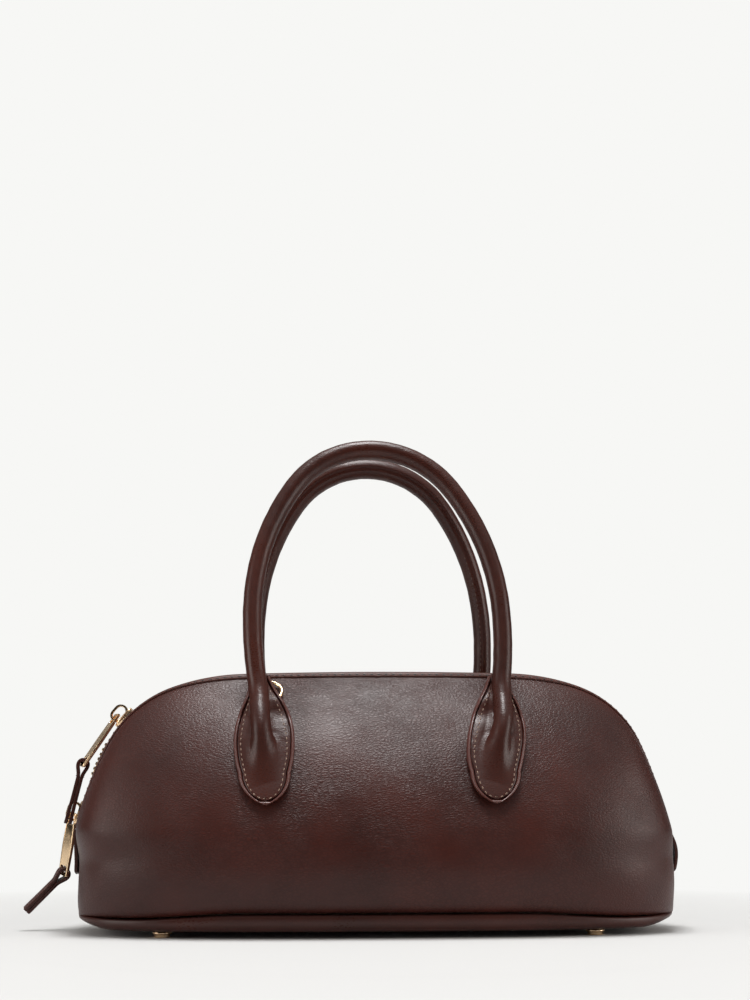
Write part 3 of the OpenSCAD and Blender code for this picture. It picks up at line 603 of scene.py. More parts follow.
base_board_finish = pressed_board("base_board_finish", shade(96, 80, 66), shade(130, 112, 94))
core_twine = thread("core_twine", shade(196, 180, 152), 900.0)
rivet_steel = plated("rivet_steel", shade(190, 190, 188), 0.3)

FRONT, BACK = -1, 1
BOTH = ((FRONT, "front"), (BACK, "back"))


def to_side(points, side):
    """Shapes are worked out on the front, and mirrored to the back."""
    return points * np.array([1.0, -1.0, 1.0]) if side == BACK else points


def waves(x, y, seed, size):
    """Slow unevenness from a few crossing waves, between about -1 and 1."""
    rng = np.random.default_rng(seed)
    total = np.zeros_like(x)
    for k in range(6):
        a, phase = rng.uniform(0, 2 * np.pi), rng.uniform(0, 2 * np.pi)
        reach = size * rng.uniform(0.6, 1.5)
        total += np.sin((x * np.cos(a) + y * np.sin(a)) * 2 * np.pi / reach + phase)
    return total / 3


# how far the panels turn in at the base seam, wave where they are free, and give under the tabs' pull
TURN_IN, SLACK, PULL = 1.5, 0.35, 0.5


def panel_place(side, a, v):
    u, t = (a * 2 - 1) * 0.998, v ** 1.25
    turned_in = TURN_IN * fade(t, 0.972, 0.028)
    free = smooth(t / 0.2) * (1 - fade(t, 0.86, 0.12))
    slack = SLACK * waves(u * 150, t * 110, 4 + side, 46) * free
    by_tab = np.exp(-((np.abs(u) - 0.3) / 0.1) ** 2)
    pull = PULL * smooth(t / 0.1) * (1 - fade(t, 0.1, 0.12)) * by_tab
    return to_side(settle(net(u, t, slack - turned_in - pull)), side)


for side, word in BOTH:
    shell = thick_sheet(f"{word}_shell", 230, 84, partial(panel_place, side), (0, side, 0), WALL, 0.35)
    fasten(shell, panel_calf, "bag", "panel_leather", f"{word}_panel")


# the base: a rolled band all round, and the flat base with its feet
FOOT_H, BAND_ROLL, BAND_FOLD, BASE_T = 3.0, 5.0, 3.2, 1.8
BASE_HALF_W, BASE_HALF_D = float(half_width(SEAM_H)), BASE_D / 2
FOOT_X, FOOT_Y = BASE_HALF_W - 47, BASE_HALF_D - 18


def base_place(a, inset, z):
    c, s = np.cos(a * 2 * np.pi), np.sin(a * 2 * np.pi)
    return xyz((BASE_HALF_W - inset) * np.sign(c) * np.abs(c) ** (2 / PLAN),
               (BASE_HALF_D - inset) * np.sign(s) * np.abs(s) ** (2 / PLAN), z)


def along_line(corners, v):
    """Points along a polyline of corners, by equal shares of its length."""
    steps = lengths(corners)
    return read_off(v, steps / steps[-1], corners).T


def even_turn(a):
    """Spreads points evenly round the base's outline."""
    fine = np.linspace(0, 1, 2001)
    steps = lengths(base_place(fine, 0, 0)[:, :2])
    return np.interp(a, steps / steps[-1], fine)


def end_rise(p):
    """The base curls up a little at both ends."""
    p[..., 2] += CURL * (SEAM_H - p[..., 2]) * fade(np.abs(p[..., 0]), 126, 27)
    return p


def band_place(a, v):
    roll = [(BAND_ROLL * (1 - cos(k)), FOOT_H + BAND_ROLL * (1 - sin(k))) for k in range(0, 91, 9)]
    inner = [(WALL + BAND_FOLD * (1 - cos(k)), FOOT_H + WALL + BAND_FOLD * (1 - sin(k)))
             for k in range(90, -1, -15)]
    outer = [(1.6, SEAM_H - 0.2), (0.75, SEAM_H - 0.35), (0.3, SEAM_H - 0.8), (0.05, SEAM_H - 1.6)]
    inset, z = along_line(outer + roll + inner + [(WALL + 0.9, SEAM_H - 0.2), outer[0]], v)
    return end_rise(settle(base_place(even_turn(a), inset, z)))


def disc_place(z, inset, a, v):
    inwards = v[..., None] * np.array([1 - inset / BASE_HALF_W, 1 - inset / BASE_HALF_D, 0])
    return end_rise(settle(base_place(a, 0, 0) * inwards + [0, 0, z]))


band = cut_sheet("base_roll", 260, 46, band_place, True)
fasten(shaded(band, 60), trim_calf, "bag", "trim_leather", "base_band")
flat = thick_sheet("base_flat", 120, 20, partial(disc_place, FOOT_H, 5.3), (0, 0, -1), BASE_T, 0.3,
                   closed=True, angle=50)
fasten(flat, trim_calf, "bag", "trim_leather", "base_panel")


# binding along both edges of the zip, rolled over on to the panels, with its stitches
def lap_of(u, lap):
    lo, hi = np.zeros_like(u), np.full_like(u, 0.5)
    for _ in range(14):
        mid = (lo + hi) / 2
        short = np.linalg.norm(net_point(u, mid) - net_point(u, 0 * u), axis=-1) < lap
        lo, hi = np.where(short, mid, lo), np.where(short, hi, mid)
    return (lo + hi) / 2


BINDING_IN, BINDING_SPAN, BINDING_T = 5.4, 0.826, 0.85
LAP, STITCH_V = 3.4, 0.86


def binding_at(u, v, off):
    """v runs from the edge at the zip, 0, over the corner, 0.6, to the lower edge on the panel, 1."""
    s = u * SEAM_HALF
    lap = lap_of(u, LAP * (1 + 0.6 * fade(np.abs(s), 95, 45)))
    down = fade(v, 0.56, 0.08)
    on_top, over_edge = np.clip(v / 0.6, 0, 1), np.clip((v - 0.6) / 0.4, 0, 1)
    x0, z0 = rim(s, 0.25)
    x1, z1 = rim(s, 1.25)
    y = -BINDING_IN - on_top * (HALF_G - BINDING_IN)
    top = xyz(x0, y, z0)
    up = unit(xyz(x1 - x0, 0, z1 - z0))
    at = net(u, over_edge * lap, 0.25)
    out = unit(net(u, over_edge * lap, 1.25) - at)
    k = down[..., None]
    return top * (1 - k) + at * k + np.asarray(off)[..., None] * unit(up * (1 - k) + out * k)


def binding_place(side, a, v):
    u = (a * 2 - 1) * BINDING_SPAN
    outside = v < 0.5
    w = np.where(outside, v * 2, (1 - v) * 2)
    rounded = (1 - np.abs(2 * w - 1) ** 10) ** 0.5
    groove = 0.2 * np.exp(-((w - STITCH_V) / 0.035) ** 2)
    off = np.where(outside, 0.1 + (BINDING_T - 0.25) * rounded - groove, 0.0)
    return to_side(settle(binding_at(u, w, off)), side)


def stitch_template(length, width):
    """One stitch of thread, sunk at both ends."""
    piece = block((length, width, width * 0.8))
    with reshaped(worked(piece, "SUBSURF", levels=2, render_levels=2)) as co:
        co[:, 0] *= 1.25
        co[:, 2] -= 0.35 * (np.abs(co[:, 0]) / length * 2) ** 3
    return piece


def stitched(name, line, ups, pitch, length, width, finish, body, slot):
    """Stitches laid along a line of points, with the direction that is up at each."""
    steps = lengths(line)
    marks = np.arange(pitch / 2, steps[-1], pitch)
    behind, at, ahead = (read_off(marks + shift, steps, line) for shift in (-0.4, 0, 0.4))
    places = [seat(*place) for place in zip(at, ahead - behind, read_off(marks, steps, ups))]
    made = copied(shaded(stitch_template(length, width)), places, name)
    return fasten(made, finish, body, slot)


for side, word in BOTH:
    strip = cut_sheet(f"{word}_binding_strip", 300, 80, partial(binding_place, side), True)
    fasten(shaded(strip, 60), binding_calf, "bag", "trim_leather", f"{word}_binding")
    u = np.linspace(-0.815, 0.815, 900)
    row = to_side(settle(binding_at(u, 0 * u + STITCH_V, 0 * u + 0.55)), side)
    off_row = to_side(settle(binding_at(u, 0 * u + STITCH_V, 0 * u + 1.72)), side)
    stitched(f"{word}_binding_stitches", row, off_row - row, 3.75, 1.9, 1.0, seam_thread, "bag",
             "trim_leather")


# handles: five arcs in a plane that leans to the middle of the bag, each a little fuller at the top
TUBE_R, HANDLE_LEAN = 4.8, 10.2
FULLER = {FRONT: 0.35, BACK: 0.7}
# how far the top of each handle has swung along the bag, and risen or dropped
SWUNG, RISEN, BACK_NARROWER = {FRONT: 2.59, BACK: 3.14}, {FRONT: 2.6, BACK: -0.75}, 0.017
PIVOT = np.array([60.1123, -34.3607, 117.895])
HANDLE_RISE = 131.11
HANDLE_RADII, HANDLE_SLOPES = (50, 124, 198), (0, 55, 88, 100.5)
HANDLE_ARCS = arc_chain(0.0, HANDLE_RADII, HANDLE_SLOPES)
HANDLE_HALF = sum(r * math.radians(b - a) for r, a, b, c in HANDLE_ARCS)


def curve_through(values, f):
    """A smooth line through evenly spaced values, at f from 0 to 1."""
    p = np.asarray(values, float)
    p = np.concatenate([[2 * p[0] - p[1]], p, [2 * p[-1] - p[-2]]])
    at = np.clip(f, 0, 1) * (len(values) - 1)
    i = np.minimum(at.astype(int), len(values) - 2)
    t = at - i
    a, b, c, d = p[i], p[i + 1], p[i + 2], p[i + 3]
    return 0.5 * (2 * b + (c - a) * t + (2 * a - 5 * b + 4 * c - d) * t * t
                  + (3 * b - a - 3 * c + d) * t ** 3)


def handle_point(s):
    x, z = chain_at(HANDLE_ARCS, s)[:2]
    rise = z + HANDLE_RISE
    return xyz(x, PIVOT[1] + rise * sin(HANDLE_LEAN), PIVOT[2] + rise * cos(HANDLE_LEAN))


def handle_settle(p, side):
    """How each handle leans along the bag, as it was let go."""
    g = np.clip((p[..., 2] - PIVOT[2]) / 125, -0.2, 1.1)
    lift = TILT * p[..., 0] * (1 - smooth(g / 0.7)) + 0.15 * (1 - g)
    narrow = 1 - BACK_NARROWER * smooth(g * 2) * (side == BACK)
    return xyz(p[..., 0] * narrow - SWUNG[side] * g, p[..., 1], p[..., 2] + RISEN[side] * g + lift)


def evened(points, step):
    """Points at even steps along a line."""
    along = lengths(points)
    return read_off(np.linspace(0, along[-1], max(3, int(along[-1] / step) + 1)), along, points)


def eased(points, times):
    """Rounds off the corners of a line."""
    for _ in range(times):
        points = np.concatenate([points[:1], (points[:-2] + 2 * points[1:-1] + points[2:]) / 4, points[-1:]])
    return points


# handle tabs: an oval leaf on a wider patch. The handle's tube runs down the middle of the leaf and fades out
# near its tip. Shapes are given over x and z for the right front tab.
TAB_TIP, TAB_END, TAB_T, PATCH_T, RING_WIRE = 60.8, 125.0, 1.6, 1.1, 0.85
TAB_BASE, LIFT_H = PATCH_T + 0.4, 2 * RING_WIRE + 0.9
PATCH_HALF = (9.9, 12.3, 13.8, 14.5, 14.6, 13.9, 12.4, 9.9, 7.0, 5.4)
PATCH_MIDDLE = (55.6, 55.9, 56.3, 56.6, 56.8, 57.0, 57.1, 57.2, 57.4, 57.9, 59.0, 60.4)
RIM_W, TOE_H, TOE_HALF, HUMP_HALF = 2.3, 18.5, 12.55, 6.4
NECK_ROOT, NECK_DIR = np.array([59.0589, -45.4535, 102.313]), np.array([0.0549918, 0.579072, 0.813419])


def patch_half(z):
    """Half width of the patch at a height."""
    t = np.clip((z - TAB_TIP) / TOE_H, 1e-4, 1)
    return np.where(z < 76, TOE_HALF * (1 - (1 - t) ** 2.7) ** 0.73, curve_through(PATCH_HALF, (z - 70) / 54))


def leaf_half(z):
    near_tip = fade(z - TAB_TIP, 2.1, 6)
    return np.maximum(patch_half((z - 2.1) * (1 - near_tip) + z * near_tip) - RIM_W * near_tip, 0.02)


def patch_middle(z):
    return curve_through(PATCH_MIDDLE, (z - 60) / 66)


def tab_lift(z):
    return LIFT_H * fade(z, 76, 28)


def tube_axis_points():
    """The tube's middle line, from inside the panel up through the pivot into the handle."""
    low = np.array([62, 70, 77, 85, 92, 98])
    top = np.array([2.9, 3.3, 4.9, 7.6, 11.0, 14.6])
    x = PIVOT[0] - (111 - low) * math.tan(math.radians(5.8))
    below = xyz(x, -depth_at(x, low) - top + TUBE_R, low)
    neck = NECK_ROOT + np.linspace(0, 16, 7)[:, None] * NECK_DIR
    s = HANDLE_HALF - np.linspace(4, 26, 8)
    return eased(evened(np.concatenate([below, neck, handle_point(s)]), 1.0), 14)


AXIS = tube_axis_points()
AXIS_T = unit(np.gradient(AXIS, axis=0))


def axis_at(z, table):
    return read_off(z, AXIS[:, 2], table)


def wing(x, z, off):
    """The flat part of a leaf: on the panel below, then off it and up beside the tube."""
    on = -depth_at(x, np.minimum(z, 127)) - (TAB_BASE + tab_lift(z)) / 0.86
    beside = axis_at(z, AXIS)[..., 1] + 0.5 * TUBE_R
    k = fade(z, 103, 11)
    return xyz(x, on * (1 - k) + beside * k - off, z)


def leaf_at(z, p, off, fold=0.0):
    """A leaf's outer face at a height, and a share p of its width from inner edge, -1, to outer, 1."""
    half, mid, axis = leaf_half(z), patch_middle(z), axis_at(z, AXIS)
    tangent = axis_at(z, AXIS_T)
    out = unit(-np.cross(tangent, [1.0, 0.0, 0.0]))
    side = np.cross(tangent, out)
    face = wing(axis[..., 0], z, TAB_T)
    wide = TUBE_R + 3.6 * (1 - fade(z, 70, 26))
    middle = axis + (TUBE_R - wide)[..., None] * out
    level = ((face - middle) * out).sum(-1)
    limit = np.arccos(np.clip((level + 0.25) / wide, -0.5, 0.985))
    split = 0.56
    theta = np.clip(p / split, -1, 1) * limit
    rolled = middle + (wide + 0.05 - 0.25 * fade(z, 110, 6) + off)[..., None] * (
        np.sin(theta)[..., None] * side + np.cos(theta)[..., None] * out)
    t = np.clip((np.abs(p) - split) / (1 - split), 0, 1)
    edge_x = mid + np.sign(p) * np.maximum(half, 0.02)
    merged = fade(z, 112, 12)
    x = rolled[..., 0] * (1 - t) + edge_x * t
    flat = wing(x, z, TAB_T + off - 0.4 * fold * np.exp(-((t - 0.3) / 0.16) ** 2))
    fall = (1 - (1 - t) ** 2.6) * (1 - 0.6 * merged * (1 - t))
    shaped = rolled * (1 - fall[..., None]) + flat * fall[..., None]
    shaped[..., 0] = x
    hard = np.where((t > 0)[..., None], shaped, rolled)
    rounded_x = mid + p * half
    level_face = wing(rounded_x, z, TAB_T + off)
    high = level_face[..., 1] - (axis + (TUBE_R + off)[..., None] * out)[..., 1]
    hump = (np.maximum(high, 0) * np.exp(-(np.abs(rounded_x - axis[..., 0]) / HUMP_HALF) ** 2.4)
            * (1 - np.abs(p) ** 6))
    soft = level_face - hump[..., None] * np.array([0, 1.0, 0])
    k = fade(z, 79, 26)[..., None]
    return soft * (1 - k) + hard * k


def tab_settle(p, side, end):
    """Sets a right front tab in its place, and lets the front right one sway as its handle leans."""
    z = p[..., 2]
    if (side, end) == (FRONT, 1):
        sway = 3.4 * fade(z, 76, 32) - 0.4 * fade(z, 116, 14) - 3.0
        raised = 0.7 * (1 - fade(z, 62, 40))
    else:
        sway, raised = 0 * z, 0 * z
    placed = settle(xyz((p[..., 0] + sway) * end, p[..., 1], z + raised))
    lean = fade(z, 108, 16)[..., None]
    return to_side(placed * (1 - lean) + handle_settle(p * np.array([end, 1, 1]), side) * lean, side)


def leaf_rows(v, tip):
    return tip + (TAB_END - tip) * (0.6 * v ** 2 + 0.4 * v ** 1.6)


def leaf_place(side, end, a, v):
    z, p = leaf_rows(v, TAB_TIP + 2.1), 2 * a - 1
    edge = -0.4 * np.abs(p) ** 16
    wrinkle = 0.06 * waves(p * 7, z, 21 + end + side, 4.2) * fade(z, 80, 12)
    return tab_settle(leaf_at(z, p, edge + wrinkle, 1.0 if (side, end) == (FRONT, 1) else 0.2), side, end)


def patch_place(side, end, a, v):
    z = leaf_rows(v, TAB_TIP)
    half, p = patch_half(z), np.sin((2 * a - 1) * np.pi / 2) * 0.45 + (2 * a - 1) * 0.55
    inside = half * (1 - np.abs(p))
    near_tip = np.clip((z - TAB_TIP) / RIM_W, 0, 1)
    depth = np.minimum(inside, RIM_W * near_tip)
    rim_up = 1.9 * np.sqrt(np.clip(1 - ((depth - 1.0) / 1.0) ** 2, 0, 1)) * (depth < 2.0)
    sunk = 0.35 * (1 - fade(depth, 1.6, 0.2))
    return tab_settle(wing(patch_middle(z) + p * half, z, rim_up + sunk - 0.5), side, end)


def swept(name, path, radius, sides, frame_out=None):
    """A closed tube along points; radius(u, angle) may vary, and angle 0 faces frame_out."""
    tangent = unit(np.gradient(path, axis=0))
    if frame_out is None:
        out = [unit(np.cross(tangent[0], [0.31, 0.2, 0.93]))]
        for t in tangent[1:]:
            out.append(unit(out[-1] - t * np.dot(out[-1], t)))
        out = np.array(out)
    else:
        out = unit(frame_out - tangent * (frame_out * tangent).sum(-1, keepdims=True))
    across = np.cross(tangent, out)
    share = np.linspace(0, 1, len(path))

    def place(a, v):
        angle = v * 2 * np.pi
        at, o, c = (read_off(a, share, table) for table in (path, out, across))
        r = np.asarray(radius(a, angle)) + 0 * a
        return at + (r * np.cos(angle))[..., None] * o + (r * np.sin(angle))[..., None] * c

    piece = cut_sheet(name, len(path) - 1, sides, place, True)
    with edited(piece, False):
        bpy.ops.mesh.select_mode(type="EDGE")
        bpy.ops.mesh.select_non_manifold()
        bpy.ops.mesh.edge_face_add()
        bpy.ops.mesh.select_mode(type="VERT")
    return tidy(piece)


def handle_path(side):
    """The tube's line, from inside one leaf over to inside the other."""
    s = np.linspace(-HANDLE_HALF + 16, HANDLE_HALF - 16, 200)
    arch = handle_settle(handle_point(s), side)
    ends = []
    for end in (-1, 1):
        part = AXIS[(AXIS[:, 2] > 106) & (AXIS[:, 2] < 132)]
        ends.append(to_side(tab_settle(part, side, end), side))
    line = np.concatenate([ends[0], arch, ends[1][::-1]])
    return to_side(eased(evened(line, 1.6), 8), side)


def handle_radius(seed, fuller, a, angle):
    seam = np.abs(angle % (2 * np.pi) - np.pi)
    groove = -0.55 * np.exp(-(seam / 0.1) ** 2) + 0.18 * np.exp(-((seam - 0.24) / 0.12) ** 2)
    bend = smooth(1 - np.abs(a - 0.5) / 0.3)
    ripple = 0.05 * waves(a * 420 + 4 * np.cos(angle), 5 * np.sin(angle), seed, 9) \
        + 0.03 * np.sin(a * 900 + 2 * np.sin(angle)) * bend
    inside_leaf = fade(np.minimum(a, 1 - a), 0.005, 0.03)
    return TUBE_R + fuller * bend - 0.12 * (1 - inside_leaf) + (groove + ripple) * inside_leaf


def tab_seam():
    """Heights and shares of the width of a tab's seam: down one edge, round the tip, and up the other."""
    down = np.concatenate([np.linspace(118, 66, 60), 63.9 + 2.1 * np.linspace(1, 0, 16)[1:] ** 2])
    z = np.concatenate([down, down[::-1][1:]])
    way = np.where(np.arange(len(z)) < len(down), -1, 1)
    return z, way * np.clip(1 - SEAM_IN / np.maximum(leaf_half(z), SEAM_IN), 0.02, 1)


SEAM_IN, LEAF_T, PATCH_LEAF_T = 1.2, 1.3, 0.6
TAB_SEAM = tab_seam()
SEAM_OFF = np.zeros(len(TAB_SEAM[0]))
# the handle's two rows of stitches: half the angle between them, and how far they stand off
ROW_TURN, ROW_OFF = 0.33, 0.12


def bend_over(piece):
    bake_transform(piece)


for side, word in BOTH:
    path = handle_path(side)
    inward = np.array([[0, -side, -0.2]] * len(path), float)
    radius = partial(handle_radius, 5 + side, FULLER[side])
    tube = shaded(swept(f"{word}_handle_tube", path, radius, 40, -inward))
    bend_over(fasten(tube, handle_calf, None, "handle_leather", f"{word}_handle"))
    tangent = unit(np.gradient(path, axis=0))
    o = unit(inward - tangent * (inward * tangent).sum(-1, keepdims=True))
    c = np.cross(tangent, o)
    for way, row_name in ((-1, "a"), (1, "b")):
        turned = o * math.cos(ROW_TURN) + c * math.sin(ROW_TURN) * way
        seam = (path + turned * (TUBE_R + ROW_OFF))[14:-14]
        row = stitched(f"{word}_handle_stitches_{row_name}", seam, turned[14:-14], 3.0, 2.0, 0.5,
                       handle_thread, None, "handle_leather")
        bend_over(row)
    for end, hand in ((-1, "left"), (1, "right")):
        leaf = thick_sheet(f"{word}_{hand}_leaf", 96, 110, partial(leaf_place, side, end), (0, side, 0.2),
                           LEAF_T, 0.3, 3, even=False)
        bend_over(fasten(leaf, handle_calf, None, "handle_leather", f"{word}_{hand}_tab"))
        patch = thick_sheet(f"{word}_{hand}_patch_leaf", 110, 90, partial(patch_place, side, end),
                            (0, side, 0.2), PATCH_LEAF_T, even=False)
        bend_over(fasten(patch, edge_paint, None, "trim_leather", f"{word}_{hand}_patch"))
        row, over_row = (tab_settle(leaf_at(*TAB_SEAM, off), side, end) for off in (SEAM_OFF, SEAM_OFF + 1))
        row = stitched(f"{word}_{hand}_tab_stitches", row, over_row - row, 2.8, 1.7, 0.6, tab_thread, None,
                       "handle_leather")
        bend_over(row)


# metal and trim: shapes that are turned, cut from plate, or bent from rod
def cut_plate(name, outline, low, high, round_mm, segments=3, across=(0, 1, 2)):
    """A flat plate: a ring of points, filled, pulled up to its thickness and rounded along its edges."""
    alone()
    bpy.ops.mesh.primitive_circle_add(vertices=len(outline), radius=10 * MM, fill_type="NGON")
    piece = bpy.context.object
    piece.name = piece.data.name = name
    put_points(piece, [(x, y, low) for x, y in outline])
    with edited(piece):
        bpy.ops.mesh.extrude_region_move(TRANSFORM_OT_translate={"value": (0, 0, (high - low) * MM)})
    tidy(piece)
    if round_mm:
        eased_edges(piece, round_mm, segments, 25)
    put_points(piece, points_of(piece)[:, list(across)] / MM)
    return tidy(piece)


def turned_piece(name, profile, sides):
    """A piece turned round Z from its profile of (radius, height)."""
    def place(a, v):
        r, z = along_line(profile, v)
        return xyz(r * np.cos(a * 2 * np.pi), r * np.sin(a * 2 * np.pi), z)
    return cut_sheet(name, sides, len(profile) * 3, place, True)


def set_down(piece, place):
    """Moves a piece's mesh, made in millimetres at the origin, to its place."""
    piece.data.transform(place)
    return piece


def rounded(corners, radius, steps):
    """A closed outline with round corners."""
    corners, made = [np.array(c, float) for c in corners], []
    for i, corner in enumerate(corners):
        before, after = corners[i - 1], corners[(i + 1) % len(corners)]
        a, b = unit(before - corner), unit(after - corner)
        reach = min(radius, 0.45 * np.linalg.norm(before - corner), 0.45 * np.linalg.norm(after - corner))
        for t in np.linspace(0, 1, steps):
            made.append((1 - t) ** 2 * (corner + a * reach) + 2 * t * (1 - t) * corner
                        + t * t * (corner + b * reach))
    return made


# feet: low studs, each a pad under a wider domed collar
stud = turned_piece("foot_studs", [
    (0, 0), (3.2, 0), (3.5, 0.12), (3.62, 0.4), (3.62, 1.3), (4.1, 1.45), (4.5, 1.75), (4.6, 2.15), (4.5, 2.55),
    (4.2, 2.8), (1.4, 2.8), (1.4, 7.4), (2.2, 7.4), (2.35, 7.6), (2.0, 7.9), (0, 7.95)], 48)
studs = copied(shaded(stud, 40), [Matrix.Translation(Vector((x, y, 0)) * MM)
                                  for x in (-FOOT_X, FOOT_X) for y in (-FOOT_Y, FOOT_Y)], "foot_studs")
fasten(studs, pale_gold, "bag", "gold_metal", "feet")


# zip: woven tapes, and teeth that are clamped on them one by one
TOOTH_PITCH, PROUD, TAPE_T, TAPE_IN = 2.6, 2.0, 0.6, 3.3
UPPER_PARK, LOWER_PARK, UPPER_TRAVEL = 51, 76.2, 24


def length_to(arc, slope):
    """Length along half of the zip, from the crown to a slope on one of its arcs."""
    return ARC_ENDS[arc - 1] + ARCS[arc][0] * math.radians(slope - ARCS[arc][1])


# lengths where the chain starts and stops standing proud, and where sliders travel and teeth stand apart
PROUD_RUN = length_to(SHOULDER, UPPER_PARK) + 7, length_to(END, LOWER_PARK) - 13
SLIDER_RUN = length_to(SHOULDER, UPPER_PARK - UPPER_TRAVEL) - 8, length_to(END, LOWER_PARK) + 8


def zip_frame(s, up, y, proud):
    """A place by the zip's middle. Between the two sliders the chain stands proud of its tapes' edges."""
    stretch = smooth((-s - PROUD_RUN[0]) / 9) * smooth((PROUD_RUN[1] + s) / 9)
    x, z = rim(s, up + proud * stretch)
    return settle(xyz(x, y, z))


def tape_place(side, a, v):
    across = -(TAPE_IN + v * (HALF_G - WALL - TAPE_IN))
    return to_side(zip_frame((2 * a - 1) * ZIP_HALF, -0.3 - 0.1 * np.sin(v * np.pi), across,
                             PROUD * (1 - smooth(v / 0.35))), side)


def tooth_template(reach):
    """One tooth: a clamp over the tape's cord, with a nose that reaches across."""
    tooth = block((1.5, 2.5, 2.9), (0, -1.9, 0.62))
    with edited(tooth, False):
        bpy.ops.mesh.select_mode(type="FACE")
    for face in tooth.data.polygons:
        face.select = face.normal.y > 0.9
    bpy.ops.object.mode_set(mode="EDIT")
    bpy.ops.mesh.extrude_region_move(TRANSFORM_OT_translate={"value": (0, reach * MM, 0)})
    bpy.ops.transform.resize(value=(0.62, 1, 0.66))
    bpy.ops.mesh.select_mode(type="VERT")
    bpy.ops.object.mode_set(mode="OBJECT")
    return shaded(worked(worked(tidy(tooth), "BEVEL", width=0.22 * MM, segments=1), "TRIANGULATE"), 40)


for side, word in BOTH:
    tape = thick_sheet(f"{word}_tape_weave", 260, 4, partial(tape_place, side), (0, 0, 1), TAPE_T)
    fasten(tape, tape_weave, "bag", "zip_tape", f"{word}_zip_tape")
    count = int((2 * ZIP_HALF - 2 * TOOTH_PITCH) / TOOTH_PITCH)
    marks = (np.arange(count) - count / 2 + 0.29 + (0.5 if side == BACK else 0)) * TOOTH_PITCH
    apart = (marks > -SLIDER_RUN[1]) & (marks < -SLIDER_RUN[0])
    rows = []
    for reach, chosen in ((0.1, marks[apart]), (1.05, marks[~apart])):
        behind, at, ahead = (zip_frame(chosen + shift, 0, 0, PROUD) for shift in (-0.3, 0, 0.3))
        up = zip_frame(chosen, 1, 0, PROUD) - at
        places = [seat(*place) for place in zip(at, (behind - ahead) * side, up)]
        rows.append(copied(tooth_template(reach), places, f"{word}_teeth_part"))
    teeth = joined(f"{word}_teeth", *rows)
    fasten(teeth, tooth_gold, "bag", "zip_teeth", f"{word}_zip_teeth")


# leather tab folded over each end of the zip
END_TAB_W, END_TAB_LONG, END_TAB_T = 24.6, 22, 1.5


def end_tab_place(end, bow, a, v):
    s = ZIP_HALF + 0.4 + END_TAB_LONG * v
    at_tip, at_top = 1 - np.clip(1 - v, 0, 0.12) / 0.12, 1 - np.clip(v, 0, 0.08) / 0.08
    narrowed = 1 - 0.5 * at_tip ** 3 - 0.12 * at_top ** 2
    x, z = rim(end * s, 1.7 + bow * np.sin(np.pi * v) + 0.35 * np.cos((2 * a - 1) * np.pi / 2))
    return settle(xyz(x, (2 * a - 1) * END_TAB_W / 2 * narrowed, z))


for end, hand, bow in ((-1, "left", 0.3), (1, "right", 2.6)):
    place = partial(end_tab_place, end, bow)
    flap = thick_sheet(f"{hand}_end_flap", 40, 40, place, (end, 0, 0.1), END_TAB_T, 0.35, 3, angle=50)
    fasten(flap, trim_calf, "bag", "trim_leather", f"{hand}_end_tab")
    t = np.concatenate([np.linspace(0.06, 0.9, 50), np.full(40, 0.9), np.linspace(0.9, 0.06, 50)])
    a = np.concatenate([np.full(50, 0.09), np.linspace(0.09, 0.91, 40), np.full(50, 0.91)])
    row, lift = place(a, t), np.array([end, 0, 0.15])
    stitched(f"{hand}_end_stitches", row + lift * 0.1, 0 * row + lift, 3.2, 2.1, 0.65, seam_thread, "bag",
             "trim_leather")


# sliders: a domed top plate with turned-down flanges, a lower plate, and the loop that holds the pull
def slider_seat(centre, radius, slope):
    """Matrix of a slider's own frame: X up along the left half of the zip, Z out from it."""
    at = (-centre[0] - radius * sin(slope), 0, centre[1] + radius * cos(slope))
    along, up = (cos(slope), 0, sin(slope)), (-sin(slope), 0, cos(slope))
    return seat(at, along, up)


# the loop's half span, wire path's radius and height, and how far out the flanges stand
LOOP_HALF, LOOP_R, LOOP_UP, FLANGE_OUT = 1.4, 2.95, 6.3, 4.38


